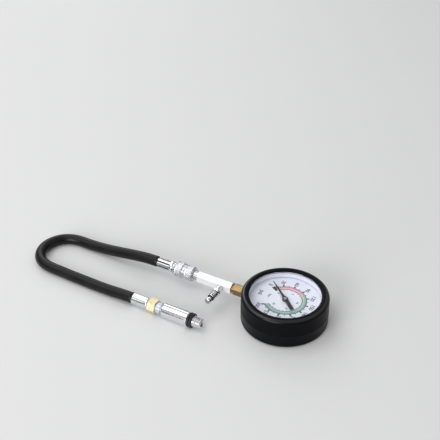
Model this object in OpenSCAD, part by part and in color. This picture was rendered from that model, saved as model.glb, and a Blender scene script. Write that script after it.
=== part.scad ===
// Compression tester gauge: a bourdon tube gauge in a rubber boot, its block with a
// release valve, a quick coupler, and the hose with its threaded end fitting.
// Millimetres. The origin is on the pointer's axis, on the table that the boot lies on.
// +Z is up, out of the dial, +X points to twelve o'clock, and the stem leaves towards -X.

/* [Gauge head] */
// Outside diameter of the rubber boot
boot_d = 80; // [77:0.5:90]
// Thickness of the boot's wall round the case
boot_wall = 5; // [4.5:0.1:6]
// Thickness of the boot's lip under the case
boot_back_lip = 2.5; // [2:0.1:4]
// Diameter of the opening in the boot's back
boot_back_opening = 57; // [56:0.5:62]
// Thickness of the boot's lip over the bezel
boot_front_lip = 1.3; // [1:0.1:2.5]
// Thickness of the case's sheet steel
case_sheet = 0.8; // [0.6:0.05:1]
// Thickness of the bezel ring's sheet
bezel_sheet = 0.5; // [0.4:0.05:0.8]
// Width of the bezel's lip over the lens
bezel_lip_w = 2.7; // [2.2:0.1:3.5]
// Height of the bezel's skirt round the case
bezel_skirt_h = 6.2; // [4:0.1:7]
// Thickness of the lens
lens_t = 1.6; // [1.2:0.1:2.5]
// Thickness of the lens gasket
gasket_t = 0.4; // [0.3:0.05:1]
// Height of the spacer ring between dial and lens
spacer_h = 4.9; // [4:0.1:7]
// Thickness of the dial plate
dial_t = 0.6; // [0.4:0.1:1]
// Hole in the dial for the pinion arbor
dial_hole_d = 5; // [4:0.1:5.6]
// Room between the movement and the dial
dial_room = 4.2; // [3.6:0.1:6]

/* [Pointer] */
// Length of the pointer from its axis to its tip
pointer_l = 27; // [22:0.5:29]
// Length of the pointer's tail
pointer_tail_l = 15.8; // [10:0.1:16.4]
// Width of the pointer's tail
pointer_tail_w = 3.4; // [2.6:0.1:4.2]
// Width of the pointer across its boss
pointer_boss_w = 5.6; // [4.4:0.1:6.4]
// Thickness of the pointer
pointer_t = 0.6; // [0.4:0.1:0.8]
// Direction of the pointer at rest, counted from twelve o'clock
pointer_rest = 140; // [130:1:145]
// Turn of the pointer from rest to full scale
pointer_sweep = 275; // [240:1:280]
// Diameter of the stop pin in the dial
stop_pin_d = 0.8; // [0.6:0.1:1.2]
// Distance of the stop pin from the pointer's axis
stop_pin_r = 18.2; // [17.6:0.1:20]

/* [Movement] */
// Module of the sector gear and its pinion
gear_module = 0.4; // [0.38:0.01:0.42]
// Teeth of the pinion
pinion_teeth = 10; // [9:1:11]
// Teeth that the sector would have as a full wheel
wheel_teeth = 70; // [66:1:72]
// Thickness of the movement's plates
plate_t = 1; // [0.8:0.1:1.4]
// Room between the plates
plate_room = 6; // [5.8:0.1:7]
// Height of the socket's ledge above the case's floor
ledge_h = 5.2; // [4.6:0.1:6]
// Thickness of the sector gear
sector_t = 1; // [0.8:0.1:1.2]
// Distance of the link pin from the sector's arbor
tail_r = 4.5; // [4:0.1:5]
// Thickness of the link
link_t = 0.7; // [0.5:0.1:0.9]
// Diameter of the link's pins
pin_d = 0.9; // [0.7:0.05:1]
// Diameter of the pillars between the plates
pillar_d = 3.2; // [2.8:0.1:3.6]
// Turns of the hairspring
hairspring_turns = 3; // [2:1:4]
// Distance between the hairspring's turns
hairspring_pitch = 1.2; // [0.9:0.1:1.4]

/* [Bourdon tube] */
// Radius of the tube's bend, to the middle of its section
tube_r = 27; // [26:0.1:28]
// Width of the flattened tube
tube_w = 7; // [5:0.1:8]
// Thickness of the flattened tube
tube_t = 2.2; // [1.8:0.1:2.6]
// Wall of the tube
tube_wall = 0.35; // [0.25:0.05:0.45]

/* [Stem and block] */
// Height of the stem's axis above the table
stem_axis_h = 14.5; // [13.8:0.1:15.2]
// Width across the flats of the stem's hexagon
stem_flats = 10; // [9.4:0.1:11.5]
// Diameter of the stem's neck where it enters the case
stem_neck_d = 8.8; // [8.2:0.1:9.4]
// Length of stem that shows between the boot and the block
stem_show = 14; // [11:0.1:17]
// Diameter of the stem's thread
stem_thread_d = 7.6; // [7:0.1:8.2]
// Length of the stem's thread in the block
stem_thread_l = 5.6; // [4.6:0.1:5.8]
// Width across the flats of the hexagonal block
block_w = 10.4; // [10.2:0.1:12]
// Length of the block
block_l = 36; // [32:0.1:44]
// Chamfer round the block's ends
block_chamfer = 0.6; // [0.3:0.1:1.2]
// Diameter of the gas passage
passage_d = 3; // [2:0.1:3.6]

/* [Release valve] */
// Distance of the valve's axis from the block's gauge end
valve_at = 10.6; // [10.4:0.1:13]
// Diameter of the valve's thread
valve_thread_d = 6.4; // [6.2:0.1:6.8]
// Length of the valve's thread in the block
valve_thread_l = 3.8; // [3.2:0.1:4]
// Diameter of the valve's neck
valve_neck_d = 5.8; // [5.6:0.1:6.4]
// Length of the valve's neck
valve_neck_l = 6; // [4:0.1:7]
// Width across the flats of the valve's hexagon
valve_hex = 7.4; // [7:0.1:8.6]
// Length of the valve's hexagon
valve_hex_l = 3; // [2:0.1:4]
// Diameter of the valve's barrel
valve_barrel_d = 7; // [6.8:0.1:7.2]
// Length of the valve's barrel
valve_barrel_l = 8.6; // [7:0.1:11]
// Travel of the release button
button_travel = 2; // [1.5:0.1:2.4]
// Diameter of the release button
button_d = 6; // [5.6:0.1:7]
// Length of the button's knob
button_l = 3.4; // [2.5:0.1:5]

/* [Quick coupler] */
// Diameter of the coupler's thread in the block
coupler_thread_d = 7.6; // [7:0.1:8.2]
// Length of the coupler's thread in the block
coupler_thread_l = 8; // [6:0.1:9]
// Diameter of the neck between block and sleeve
coupler_neck_d = 8.6; // [8.4:0.1:9.4]
// Length of the neck between block and sleeve
coupler_neck_l = 5.2; // [4.8:0.1:7]
// Diameter of the body inside the sleeve
coupler_body_d = 10.2; // [10.1:0.05:10.4]
// Diameter of the plug in the coupler
plug_d = 7.3; // [7.1:0.05:7.4]
// Diameter over the sleeve's front ring
sleeve_d = 15.2; // [15:0.1:16.4]
// Travel of the sleeve
sleeve_travel = 3.5; // [3:0.1:4]
// Flutes round the sleeve's rings
sleeve_flutes = 24; // [16:1:32]
// Diameter of the locking balls
ball_d = 2.1; // [2:0.05:2.15]
// Number of locking balls
ball_count = 6; // [4:1:6]

/* [Hose] */
// Outside diameter of the hose
hose_d = 10.5; // [10:0.1:10.7]
// Bore of the hose
hose_bore_d = 5.8; // [5.7:0.1:6.2]
// Outside diameter of the ferrules
ferrule_d = 11; // [10.8:0.1:12]
// Length of the ferrules
ferrule_l = 17; // [16.8:0.1:18]
// Wall of the ferrules
ferrule_wall = 0.8; // [0.6:0.05:0.9]
// Flats pressed into each ferrule
crimp_count = 8; // [6:1:10]

/* [End fitting] */
// Width across the flats of the end fitting's hexagon
hex_flats = 12.6; // [12:0.1:13]
// Length of the hexagon
hex_l = 8.6; // [6:0.1:11]
// Diameter of the zinc collar
collar_d = 11; // [10:0.1:12.5]
// Length of the zinc collar
collar_l = 6; // [4:0.1:8]
// Diameter of the adapter tube
adapter_d = 13.8; // [12.8:0.1:14.2]
// Length of the adapter tube
adapter_l = 27.8; // [26:0.1:36]
// Diameter of the spark plug thread
plug_thread_d = 10; // [9.6:0.1:10.4]
// Length of the spark plug thread
plug_thread_l = 8.6; // [8:0.1:14]
// Thickness of a seal ring's round section
seal_ring_t = 2.4; // [2.2:0.1:2.4]
// Travel of the check valve's pin
check_travel = 1.2; // [0.8:0.1:1.6]

/* [Fits] */
// Radial room of a part that turns or slides
run_gap = 0.05; // [0.03:0.01:0.08]
// Room between parts that are fixed together
seat_gap = 0.03; // [0.02:0.01:0.05]
// Room between the boot and the pieces that it wraps
boot_gap = 0.1; // [0.05:0.05:0.2]

/* [Hidden] */
$fn = 72;
fine = 36;

// Heights in the gauge head, from the table up
case_back = boot_back_lip;
case_floor = case_back + case_sheet;
ledge_top = case_floor + ledge_h;
back_plate_top = ledge_top + plate_t;
front_plate_base = back_plate_top + plate_room;
front_plate_top = front_plate_base + plate_t;
dial_base = front_plate_top + dial_room;
dial_top = dial_base + dial_t;
spacer_top = dial_top + spacer_h;
lens_base = spacer_top + gasket_t;
lens_top = lens_base + lens_t;
bezel_top = lens_top + bezel_sheet;
boot_top = bezel_top + boot_front_lip;

// Radii in the gauge head
boot_r = boot_d / 2;
case_r = boot_r - boot_wall;
case_in_r = case_r - case_sheet;
disc_r = case_in_r - boot_gap;
bezel_in_r = case_r + seat_gap;
bezel_r = bezel_in_r + bezel_sheet;
window_r = bezel_r - bezel_lip_w;
bead_h = 1;
boot_edge = 3.4;

// Gears: the pinion turns about the pointer's axis, the sector beside it
pressure_angle = 20;
tooth_shift = 0.4;
backlash = 0.06;
pinion_r = gear_module * pinion_teeth / 2;
wheel_r = gear_module * wheel_teeth / 2;
sector_axis = [0, -(pinion_r + wheel_r)];
sector_sweep = pointer_sweep * pinion_teeth / wheel_teeth;
sector_tip_r = wheel_r + gear_module * (1 - tooth_shift);
sector_rim_r = wheel_r - 2.4;
sector_hub_r = 2.2;
spare_teeth = 2;
sector_z = back_plate_top + 2.5;
link_z = sector_z + sector_t + 0.1;
tail_rest = 180 - sector_sweep / 2;
tail_pin = sector_axis + tail_r * [cos(tail_rest), sin(tail_rest)];
tail_end_r = 1.3;
tail_w = 1.8;

// Arbors
pivot_d = 1;
arbor_d = 2.2;
front_pivot_d = 1.6;
collet_d = 3.4;
end_play = 0.2;
pinion_z = sector_z - 0.8;
pinion_h = sector_t + 1.6;
hairspring_z = pinion_z + pinion_h + 0.4;
hairspring_h = 0.6;
hairspring_t = 0.24;
hairspring_in_r = collet_d / 2 + hairspring_t / 2 + seat_gap;
hairspring_out_r = hairspring_in_r + hairspring_pitch * (hairspring_turns + 0.25);
stud_d = 1;

// Bourdon tube and its tip
tube_z = sector_z - 1.5;
tube_start = 175;
tube_end = -96;
tip_angle = 8;
tip_pin_inset = 1.9;
tip_pin_x = tail_pin[0];
tip_pin_r = tube_r - tube_t / 2 - tip_pin_inset;
tip_pin = [tip_pin_x, -sqrt(tip_pin_r * tip_pin_r - tip_pin_x * tip_pin_x)];
open_pivot_gap = 0.3;

// Socket inside the case
socket_out_x = -(case_in_r - 1.2);
socket_in_x = -(tube_r - 3);
socket_w = 13;
socket_top = stem_axis_h + stem_neck_d / 2;
socket_screw_d = 2.6;
socket_screw_y = 4.4;
socket_screw_l = 4;
socket_head_d = 4;
socket_head_h = 1.4;
socket_head_room = 2;
socket_screw_x = -(boot_back_opening / 2 - socket_head_d / 2 - socket_head_room);
small_screw_d = 1.4;
small_head_d = 2.6;
small_head_h = 0.8;
small_screw_l = 3.2;
slot_w = 0.5;

// Pillars of the movement
pillars = [
    [-11, 7.5],
    sector_axis + [9, 3.5],
    sector_axis + (sector_tip_r + 4) * [cos(143), sin(143)]
];
tenon_d = 1.8;
movement_screw_room = 0.5;
movement_screw_x = pillars[2][0] - pillar_d / 2 - small_head_d / 2 - movement_screw_room;
movement_screw_y = 4;
ledge_margin = 3;
ledge_in_x = movement_screw_x + ledge_margin;

// Stations along the block and the coupler, on the stem's axis
block_face = -(boot_r + stem_show);
block_end = block_face - block_l;
valve_x = block_face - valve_at;
port_room = 0.6;
flange_t = 1.2;
flange_room = 0.2;
coupler_bore_floor = 2.8;
coupler_bore_at = coupler_neck_l + coupler_bore_floor;
ball_reach = 10.3;
ball_at = coupler_neck_l + ball_reach;
land_l = 2.5;
spring_seat_at = ball_at - land_l;
ball_turn = 15;
ball_room = 0.4;
recess_at = ball_at + ball_d / 2 + ball_room;
recess_room = 0.5;
recess_end = recess_at + sleeve_travel + recess_room;
snap_wall = 1.8;
counterbore_at = recess_end + snap_wall;
snap_room = 0.1;
snap_at = counterbore_at + snap_room;
snap_t = 0.8;
snap_land = 1.6;
coupler_end = snap_at + snap_land;
sleeve_room = 0.4;
sleeve_at = coupler_neck_l + sleeve_room;
sleeve_end = coupler_end + sleeve_room;
plug_collar_at = sleeve_end + sleeve_room;
plug_collar_l = 2.6;
ferrule_at = plug_collar_at + plug_collar_l;
sleeve_gap = 0.15;
sleeve_in_r = coupler_body_d / 2 + sleeve_gap;
spring_pocket = 1.3;
pocket_r = coupler_body_d / 2 + spring_pocket;
plug_groove = 0.65;
plug_groove_r = plug_d / 2 - plug_groove;
ball_ring_r = plug_groove_r + ball_d / 2 + run_gap;
plug_nose_step = 1.05;
plug_nose_r = plug_d / 2 - plug_nose_step;
coupler_bore_r = plug_d / 2 + run_gap;
rear_ring_l = 8.2;
sleeve_groove_l = 2.6;
sleeve_groove = 0.8;
rear_step = 0.5;
ball_recess = 1;
sleeve_chamfer = 1;

// Release valve, counted outwards from the block's side
valve_hex_at = valve_neck_l;
valve_barrel_at = valve_hex_at + valve_hex_l;
valve_end = valve_barrel_at + valve_barrel_l;
plunger_d = 2;
plunger_head_d = 5;
plunger_head_t = 1.2;
valve_seal_t = 0.7;
chamber_floor = 2;
chamber_r = valve_barrel_d / 2 - 1.2;
button_stem_r = chamber_r - 0.3;
button_stem_l = 2.2;
button_at = valve_end + button_travel + 0.6;
valve_spring_wire = 0.6;

// Hose ends in the ferrules and barbs
barb_r = hose_bore_d / 2 - 0.2;
barb_root = 0.35;
barb_teeth = 5;
barb_l = ferrule_l - 1;
ferrule_lip = 1;
hose_pinch_r = ferrule_d / 2 - ferrule_wall - 0.1;

// End fitting, counted from the far ferrule's mouth towards the tip
fitting_neck_l = 0.8;
fitting_neck_d = 7.2;
hex_at = ferrule_l + fitting_neck_l;
collar_at = hex_at + hex_l;
adapter_at = collar_at + collar_l;
shank_d = 8;
shank_l = 8;
ring_seat_at = adapter_at + adapter_l;
ring_seat_l = 2 * seal_ring_t;
ring_seat_r = plug_thread_d / 2 - 0.4;
thread_at = ring_seat_at + ring_seat_l;
thread_end = thread_at + plug_thread_l;
tip_chamfer = 0.8;
core_d = 5.2;
core_l = 6.5;
core_inset = 1;
core_bore_d = 2.2;
check_pin_d = 1.6;
check_head_d = 4;
check_head_t = 1.3;
check_seal_t = 0.7;
check_spring_l = check_travel + 6.2;
check_wire = 0.35;
core_at = thread_end - core_inset - core_l;
check_head_at = core_at - check_seal_t - check_head_t;
check_floor = check_head_at - check_spring_l;
far_passage_d = 3.2;

// Route of the hose's middle, from inside the near ferrule to inside the far one
near_mouth = block_end - ferrule_at - ferrule_l;
far_mouth = [-131, -50.5, 7.05];
pinch_step = 0.8;
hose_grip = ferrule_l - 2;
hose_route = [
    [near_mouth + hose_grip, 0, stem_axis_h], [near_mouth + hose_grip / 2, 0, stem_axis_h],
    [near_mouth, 0, stem_axis_h],
    [near_mouth - pinch_step, 0, stem_axis_h], [-150, 0, 13.8], [-165, 0, 11.8], [-180, 0, 9.3],
    [-195, 0, 7.1], [-210, 0, 5.7], [-220, 0, 5.3], [-229, 0, 5.25],
    [-238.5, -2, 5.25], [-246.5, -7, 5.25], [-252, -15, 5.25], [-254, -24.5, 5.25],
    [-252, -34, 5.25], [-246.5, -42, 5.25], [-238.5, -47, 5.25], [-229, -49, 5.25],
    [-215, -49.5, 5.25], [-200, -50, 5.25], [-185, -50.2, 5.25], [-170, -50.4, 5.3],
    [-157, -50.5, 5.7], [-144, -50.5, 6.6],
    far_mouth - [pinch_step, 0, 0], far_mouth,
    far_mouth + [hose_grip / 2, 0, 0], far_mouth + [hose_grip, 0, 0]
];
hose_points = len(hose_route);
pinched_points = 3;
hose_sides = 12;

// Colours of the finishes
rubber = [0.05, 0.06, 0.08];
hose_black = [0.13, 0.13, 0.15];
steel = [0.72, 0.73, 0.75];
chrome = [0.86, 0.87, 0.89];
aluminium = [0.91, 0.91, 0.92];
brass = [0.72, 0.53, 0.26];
white = [0.92, 0.93, 0.95];
yellow_zinc = [0.9, 0.84, 0.55];
blue_zinc = [0.74, 0.83, 0.9];
ink = [0.07, 0.09, 0.14];

// Points of an arc round c, in n steps
function arc(c, r, from, to, n) =
    [for (i = [0:n]) let (a = from + (to - from) * i / n) c + r * [cos(a), sin(a)]];

function unit(v) = v / norm(v);

// Direction of a path at its point i
function heading(path, i) =
    unit(path[min(i + 1, len(path) - 1)] - path[max(i - 1, 0)]);

// Ring of points round a path's point i; the ring's first point lies level with it
function ring_points(path, i, r, sides) =
    let (t = heading(path, i), across = unit(cross([0, 0, 1], t)), up = cross(t, across))
    [for (k = [0:sides - 1]) let (a = 360 * k / sides) path[i] + r * (cos(a) * across + sin(a) * up)];

// Triangles between ring i and the next, whose first points stand at the given offset
function ring_faces(i, sides, offset) = [
    for (k = [0:sides - 1])
        let (n = (k + 1) % sides, a = offset + i * sides, b = a + sides)
        each [[a + k, b + n, b + k], [a + k, a + n, b + n]]
];

// Involute's turn at radius r, and a tooth's half angle there
function involute(r, base) = let (a = acos(min(1, base / r))) tan(a) * 180 / PI - a;
function half_tooth(r, pitch_r, teeth, shift) =
    let (base = pitch_r * cos(pressure_angle),
         half = 90 / teeth + (2 * shift * tan(pressure_angle) - backlash / gear_module) * 90 / PI / teeth)
    half + involute(pitch_r, base) - involute(max(r, base), base);

// Outline of one tooth about the angle mid, from its right foot to its left one
function tooth(pitch_r, teeth, shift, mid) =
    let (foot = pitch_r - gear_module * (1.25 - shift), tip = pitch_r + gear_module * (1 + shift), n = 5,
         radii = [for (i = [0:n]) foot + (tip - foot) * i / n],
         side = [for (r = radii) [r, half_tooth(r, pitch_r, teeth, shift)]])
    concat([for (p = side) p[0] * [cos(mid - p[1]), sin(mid - p[1])]],
           [for (i = [n:-1:0]) side[i][0] * [cos(mid + side[i][1]), sin(mid + side[i][1])]]);

// Solid of revolution from points [radius, height]
module turned(points) {
    rotate_extrude()
        polygon(points);
}

// Places on the stem's axis that look towards the hose, and on the end fitting's axis that look to its tip
module towards_hose(x) {
    translate([x, 0, stem_axis_h])
        rotate([0, -90, 0])
            children();
}
module towards_tip() {
    translate(far_mouth)
        rotate([0, 90, 0])
            children();
}
module out_of_valve() {
    translate([valve_x, -block_w / 2, stem_axis_h])
        rotate([90, 0, 0])
            children();
}

module disc(r, from, to) {
    translate([0, 0, from])
        cylinder(r = r, h = to - from);
}
module ring(in_r, out_r, from, to) {
    difference() {
        disc(out_r, from, to);
        disc(in_r, from - 1, to + 1);
    }
}

// Round wire wound into a compression spring, standing on z = 0
module coil_spring(mid_r, wire, length, turns) {
    steps = 14;
    sides = 6;
    count = turns * steps;
    path = [for (i = [0:count]) [
        mid_r * cos(360 * i / steps),
        mid_r * sin(360 * i / steps),
        wire / 2 + (length - wire) * i / count]];
    polyhedron(
        points = [for (i = [0:count]) each ring_points(path, i, wire / 2, sides)],
        faces = concat(
            [[for (k = [sides - 1:-1:0]) k]],
            [for (i = [0:count - 1]) each ring_faces(i, sides, 0)],
            [[for (k = [0:sides - 1]) count * sides + k]]));
}

// Hose barb of radius r that grows from z = 0, as points of its outer side
function barb_side(r, length) = [
    for (i = [0:barb_teeth - 1]) each [
        [r, length * i / barb_teeth],
        [r - barb_root, length * (i + 1) / barb_teeth]]
];

// Pan head screw with a slot, its head's seat on z = 0 and its shank below
module pan_screw(shank_d, shank_l, head_d, head_h) {
    difference() {
        union() {
            translate([0, 0, -shank_l])
                cylinder(d = shank_d, h = shank_l, $fn = fine);
            turned([[0, 0], [head_d / 2, 0], [head_d / 2, head_h * 0.5], [head_d * 0.38, head_h], [0, head_h]]);
        }
        translate([-head_d, -slot_w / 2, head_h * 0.55])
            cube([2 * head_d, slot_w, head_h]);
    }
}

// Gauge head

// Moulded rubber boot: it wraps the case and holds it by its two lips
module boot() {
    color(rubber)
        difference() {
            turned(concat(
                [[boot_back_opening / 2, 0]],
                arc([boot_r - boot_edge, boot_edge], boot_edge, -90, 0, 6),
                arc([boot_r - boot_edge, boot_top - boot_edge], boot_edge, 0, 90, 8),
                [[window_r + 0.7, boot_top - 0.35], [window_r + 0.2, boot_top - 0.7],
                 [window_r + 0.2, bezel_top], [bezel_r + boot_gap, bezel_top],
                 [bezel_r + boot_gap, lens_top - bezel_skirt_h - boot_gap],
                 [case_r + boot_gap, lens_top - bezel_skirt_h - boot_gap],
                 [case_r + boot_gap, case_back], [boot_back_opening / 2, case_back]]));
            towards_hose(0)
                disc(stem_neck_d / 2 + boot_gap, case_r - 1, boot_r + 1);
        }
}

// Pressed cup with an inner bead that the dial lies on
module case_cup() {
    color(steel)
        difference() {
            turned([
                [0, case_back], [case_r, case_back], [case_r, lens_top], [case_in_r, lens_top],
                [case_in_r, dial_base], [window_r, dial_base], [window_r, dial_base - bead_h],
                [case_in_r, dial_base - bead_h], [case_in_r, case_floor], [0, case_floor]]);
            towards_hose(0)
                disc(stem_neck_d / 2 + seat_gap, case_in_r - 3, case_r + 1);
            for (side = [-1, 1])
                translate([socket_screw_x, side * socket_screw_y, case_back - 1])
                    cylinder(d = socket_screw_d + 0.3, h = case_sheet + 2, $fn = fine);
        }
}

module bezel_ring() {
    color(chrome)
        turned([
            [bezel_in_r, lens_top - bezel_skirt_h], [bezel_r, lens_top - bezel_skirt_h],
            [bezel_r, bezel_top], [window_r, bezel_top], [window_r, lens_top], [bezel_in_r, lens_top]]);
}

module lens() {
    color([0.8, 0.88, 0.92, 0.3])
        disc(disc_r, lens_base, lens_top);
}

module lens_gasket() {
    color(white)
        ring(window_r, disc_r, spacer_top, lens_base);
}

module dial_spacer_ring() {
    color(white)
        ring(window_r, disc_r, dial_top, spacer_top);
}

// Width of the pointer's blade at a distance from its axis
blade_root = 4.4;
blade_root_w = 2.2;
blade_tip_w = 0.5;
function blade_w(r) =
    blade_tip_w + (blade_root_w - blade_tip_w) * (pointer_l - r) / (pointer_l - blade_root);
stop_pin_angle =
    pointer_rest + asin((blade_w(stop_pin_r) / 2 + stop_pin_d / 2 + 0.1) / stop_pin_r);
stop_pin_place = stop_pin_r * [cos(stop_pin_angle), sin(stop_pin_angle)];
pointer_z = dial_top + 1.6;

module dial_plate() {
    color(white)
        difference() {
            disc(disc_r, dial_base, dial_top);
            disc(dial_hole_d / 2, dial_base - 1, dial_top + 1);
            translate([stop_pin_place[0], stop_pin_place[1], dial_base - 1])
                cylinder(d = stop_pin_d + 2 * seat_gap, h = dial_t + 2, $fn = fine);
        }
}

module stop_pin() {
    color(ink)
        translate([stop_pin_place[0], stop_pin_place[1], dial_base])
            cylinder(d = stop_pin_d, h = pointer_z + pointer_t - dial_base, $fn = fine);
}

// Stamped pointer: a long blade, a diamond round the boss, and a broad tail
bush_tenon_d = 2.4;
module pointer() {
    color(ink)
        translate([0, 0, pointer_z])
            rotate(pointer_rest)
                linear_extrude(pointer_t)
                    difference() {
                        polygon([
                            [pointer_l, -blade_tip_w / 2], [pointer_l, blade_tip_w / 2],
                            [blade_root, blade_root_w / 2], [0, pointer_boss_w / 2],
                            [-blade_root, pointer_tail_w / 2], [-pointer_tail_l, pointer_tail_w / 2],
                            [-pointer_tail_l, -pointer_tail_w / 2], [-blade_root, -pointer_tail_w / 2],
                            [0, -pointer_boss_w / 2], [blade_root, -blade_root_w / 2]]);
                        circle(d = bush_tenon_d + 2 * seat_gap, $fn = fine);
                    }
}

// Bush riveted to the pointer and pushed onto the arbor's tip
arbor_tip_d = 1.2;
bush_flange_d = 3.8;
bush_cap_d = 3.4;
bush_step = 0.6;
bush_cap_base = pointer_z + pointer_t;
bush_base = pointer_z - bush_step;
arbor_top = bush_cap_base + 0.3;
module pointer_bush() {
    color(ink)
        turned([
            [arbor_tip_d / 2 + seat_gap, bush_base], [bush_flange_d / 2, bush_base],
            [bush_flange_d / 2, pointer_z], [bush_tenon_d / 2, pointer_z],
            [bush_tenon_d / 2, bush_cap_base], [bush_cap_d / 2, bush_cap_base],
            [bush_cap_d / 2 - 0.3, bush_cap_base + bush_step], [0, bush_cap_base + bush_step],
            [0, arbor_top + seat_gap], [arbor_tip_d / 2 + seat_gap, arbor_top + seat_gap]]);
}

// Movement

// Steel arbor with the pinion's teeth cut in it and the collet of the hairspring
module pinion_arbor() {
    hairspring_top = hairspring_z + hairspring_h;
    color(steel) {
        turned([
            [0, ledge_top + 0.1], [pivot_d / 2, ledge_top + 0.1], [pivot_d / 2, back_plate_top + end_play],
            [arbor_d / 2, back_plate_top + end_play], [arbor_d / 2, hairspring_z],
            [collet_d / 2, hairspring_z], [collet_d / 2, hairspring_top],
            [arbor_d / 2, hairspring_top], [arbor_d / 2, front_plate_base - end_play],
            [front_pivot_d / 2, front_plate_base - end_play], [front_pivot_d / 2, bush_base - seat_gap],
            [arbor_tip_d / 2, bush_base - seat_gap], [arbor_tip_d / 2, arbor_top], [0, arbor_top]]);
        translate([0, 0, pinion_z])
            linear_extrude(pinion_h)
                polygon([for (i = [0:pinion_teeth - 1])
                    each tooth(pinion_r, pinion_teeth, tooth_shift, -90 + 360 * i / pinion_teeth)]);
    }
}

// Flat wire wound into a spiral, from the collet to the stud
module hairspring() {
    steps = 24;
    count = round((hairspring_turns + 0.25) * steps);
    function at(i, side) =
        let (r = hairspring_in_r + hairspring_pitch * i / steps + side * hairspring_t / 2, a = 360 * i / steps)
        r * [cos(a), sin(a)];
    color(brass)
        translate([0, 0, hairspring_z])
            linear_extrude(hairspring_h)
                polygon(concat([for (i = [0:count]) at(i, 1)], [for (i = [count:-1:0]) at(i, -1)]));
}

stud_place = [0, hairspring_out_r + hairspring_t / 2 + stud_d / 2 + seat_gap];
module hairspring_stud() {
    color(brass)
        translate([stud_place[0], stud_place[1], hairspring_z])
            cylinder(d = stud_d, h = front_plate_top - hairspring_z, $fn = fine);
}

// Outline that both plates share, round the pillars, the arbors and the ledge's screws
module plate_outline() {
    hull() {
        for (p = pillars)
            translate(p)
                circle(d = pillar_d + 1.6, $fn = fine);
        for (side = [-1, 1])
            translate([movement_screw_x - 2, side * (movement_screw_y + 0.6)])
                circle(d = 3, $fn = fine);
        translate(sector_axis)
            circle(d = 5, $fn = fine);
        translate([2.5, stud_place[1] - 0.5])
            circle(d = 3.4, $fn = fine);
    }
}

// Plate with holes for its arbors' pivots and for the pillars' tenons or screws
module movement_plate(base, arbor_hole_d, pillar_hole_d) {
    translate([0, 0, base])
        difference() {
            linear_extrude(plate_t)
                plate_outline();
            translate([0, 0, -1]) {
                cylinder(d = arbor_hole_d, h = plate_t + 2, $fn = fine);
                translate(sector_axis)
                    cylinder(d = pivot_d + 2 * run_gap, h = plate_t + 2, $fn = fine);
                for (p = pillars)
                    translate(p)
                        cylinder(d = pillar_hole_d + 2 * seat_gap, h = plate_t + 2, $fn = fine);
            }
        }
}

module movement_back_plate() {
    color(brass)
        difference() {
            movement_plate(ledge_top, pivot_d + 2 * run_gap, tenon_d);
            for (side = [-1, 1])
                translate([movement_screw_x, side * movement_screw_y, ledge_top - 1])
                    cylinder(d = small_screw_d + 2 * seat_gap, h = plate_t + 2, $fn = fine);
        }
}

module movement_front_plate() {
    color(brass)
        difference() {
            movement_plate(front_plate_base, front_pivot_d + 2 * run_gap, small_screw_d);
            translate([stud_place[0], stud_place[1], front_plate_base - 1])
                cylinder(d = stud_d + 2 * seat_gap, h = plate_t + 2, $fn = fine);
            for (side = [-1, 1])
                translate([movement_screw_x, side * movement_screw_y, front_plate_base - 1])
                    cylinder(d = small_head_d + 0.6, h = plate_t + 2, $fn = fine);
        }
}

module movement_pillars() {
    color(brass)
        for (p = pillars)
            translate([p[0], p[1], 0])
                difference() {
                    union() {
                        disc(pillar_d / 2, back_plate_top, front_plate_base);
                        disc(tenon_d / 2, ledge_top, back_plate_top);
                    }
                    disc(small_screw_d / 2 + seat_gap, front_plate_base - small_screw_l, front_plate_base + 1);
                }
}

module plate_screws() {
    color(steel)
        for (p = pillars)
            translate([p[0], p[1], front_plate_top])
                pan_screw(small_screw_d, plate_t + small_screw_l - 0.4, small_head_d, small_head_h);
}

module movement_screws() {
    color(steel)
        for (side = [-1, 1])
            translate([movement_screw_x, side * movement_screw_y, back_plate_top])
                pan_screw(small_screw_d, plate_t + small_screw_l - 0.4, small_head_d, small_head_h);
}

// Toothed sector on an open arm, with the tail that the link pulls
module sector_gear() {
    pitch = 360 / wheel_teeth;
    last = ceil(sector_sweep / pitch) + spare_teeth;
    low = 90 - (last - 0.5) * pitch - pitch / 2;
    high = 90 + (spare_teeth - 0.5) * pitch + pitch / 2;
    middle = (low + high) / 2;
    foot_r = wheel_r - gear_module * (1.25 + tooth_shift);
    color(brass)
        translate([sector_axis[0], sector_axis[1], sector_z])
            difference() {
                linear_extrude(sector_t)
                    union() {
                        polygon(concat(
                            arc([0, 0], sector_rim_r, high, low, 16),
                            [foot_r * [cos(low), sin(low)]],
                            [for (i = [-last + 1:spare_teeth])
                                each tooth(wheel_r, wheel_teeth, -tooth_shift, 90 + (i - 0.5) * pitch)],
                            [foot_r * [cos(high), sin(high)]]));
                        for (a = [low + 7, high - 7])
                            rotate(a)
                                translate([0, -0.8])
                                    square([sector_rim_r + 0.6, 1.6]);
                        circle(r = sector_hub_r, $fn = fine);
                        rotate(tail_rest) {
                            translate([0, -tail_w / 2])
                                square([tail_r, tail_w]);
                            translate([tail_r, 0])
                                circle(r = tail_end_r, $fn = fine);
                        }
                    }
                translate([0, 0, -1]) {
                    cylinder(d = arbor_d + 2 * seat_gap, h = sector_t + 2, $fn = fine);
                    rotate(tail_rest)
                        translate([tail_r, 0, 0])
                            cylinder(d = pin_d + 2 * seat_gap, h = sector_t + 2, $fn = fine);
                }
            }
}

module sector_arbor() {
    color(steel)
        translate([sector_axis[0], sector_axis[1], 0])
            turned([
                [0, ledge_top + 0.1], [pivot_d / 2, ledge_top + 0.1],
                [pivot_d / 2, back_plate_top + end_play], [arbor_d / 2, back_plate_top + end_play],
                [arbor_d / 2, front_plate_base - end_play], [pivot_d / 2, front_plate_base - end_play],
                [pivot_d / 2, front_plate_top], [0, front_plate_top]]);
}

module link_pin() {
    color(steel)
        translate([tail_pin[0], tail_pin[1], sector_z])
            cylinder(d = pin_d, h = sector_t + link_t + 0.4, $fn = fine);
}

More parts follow.
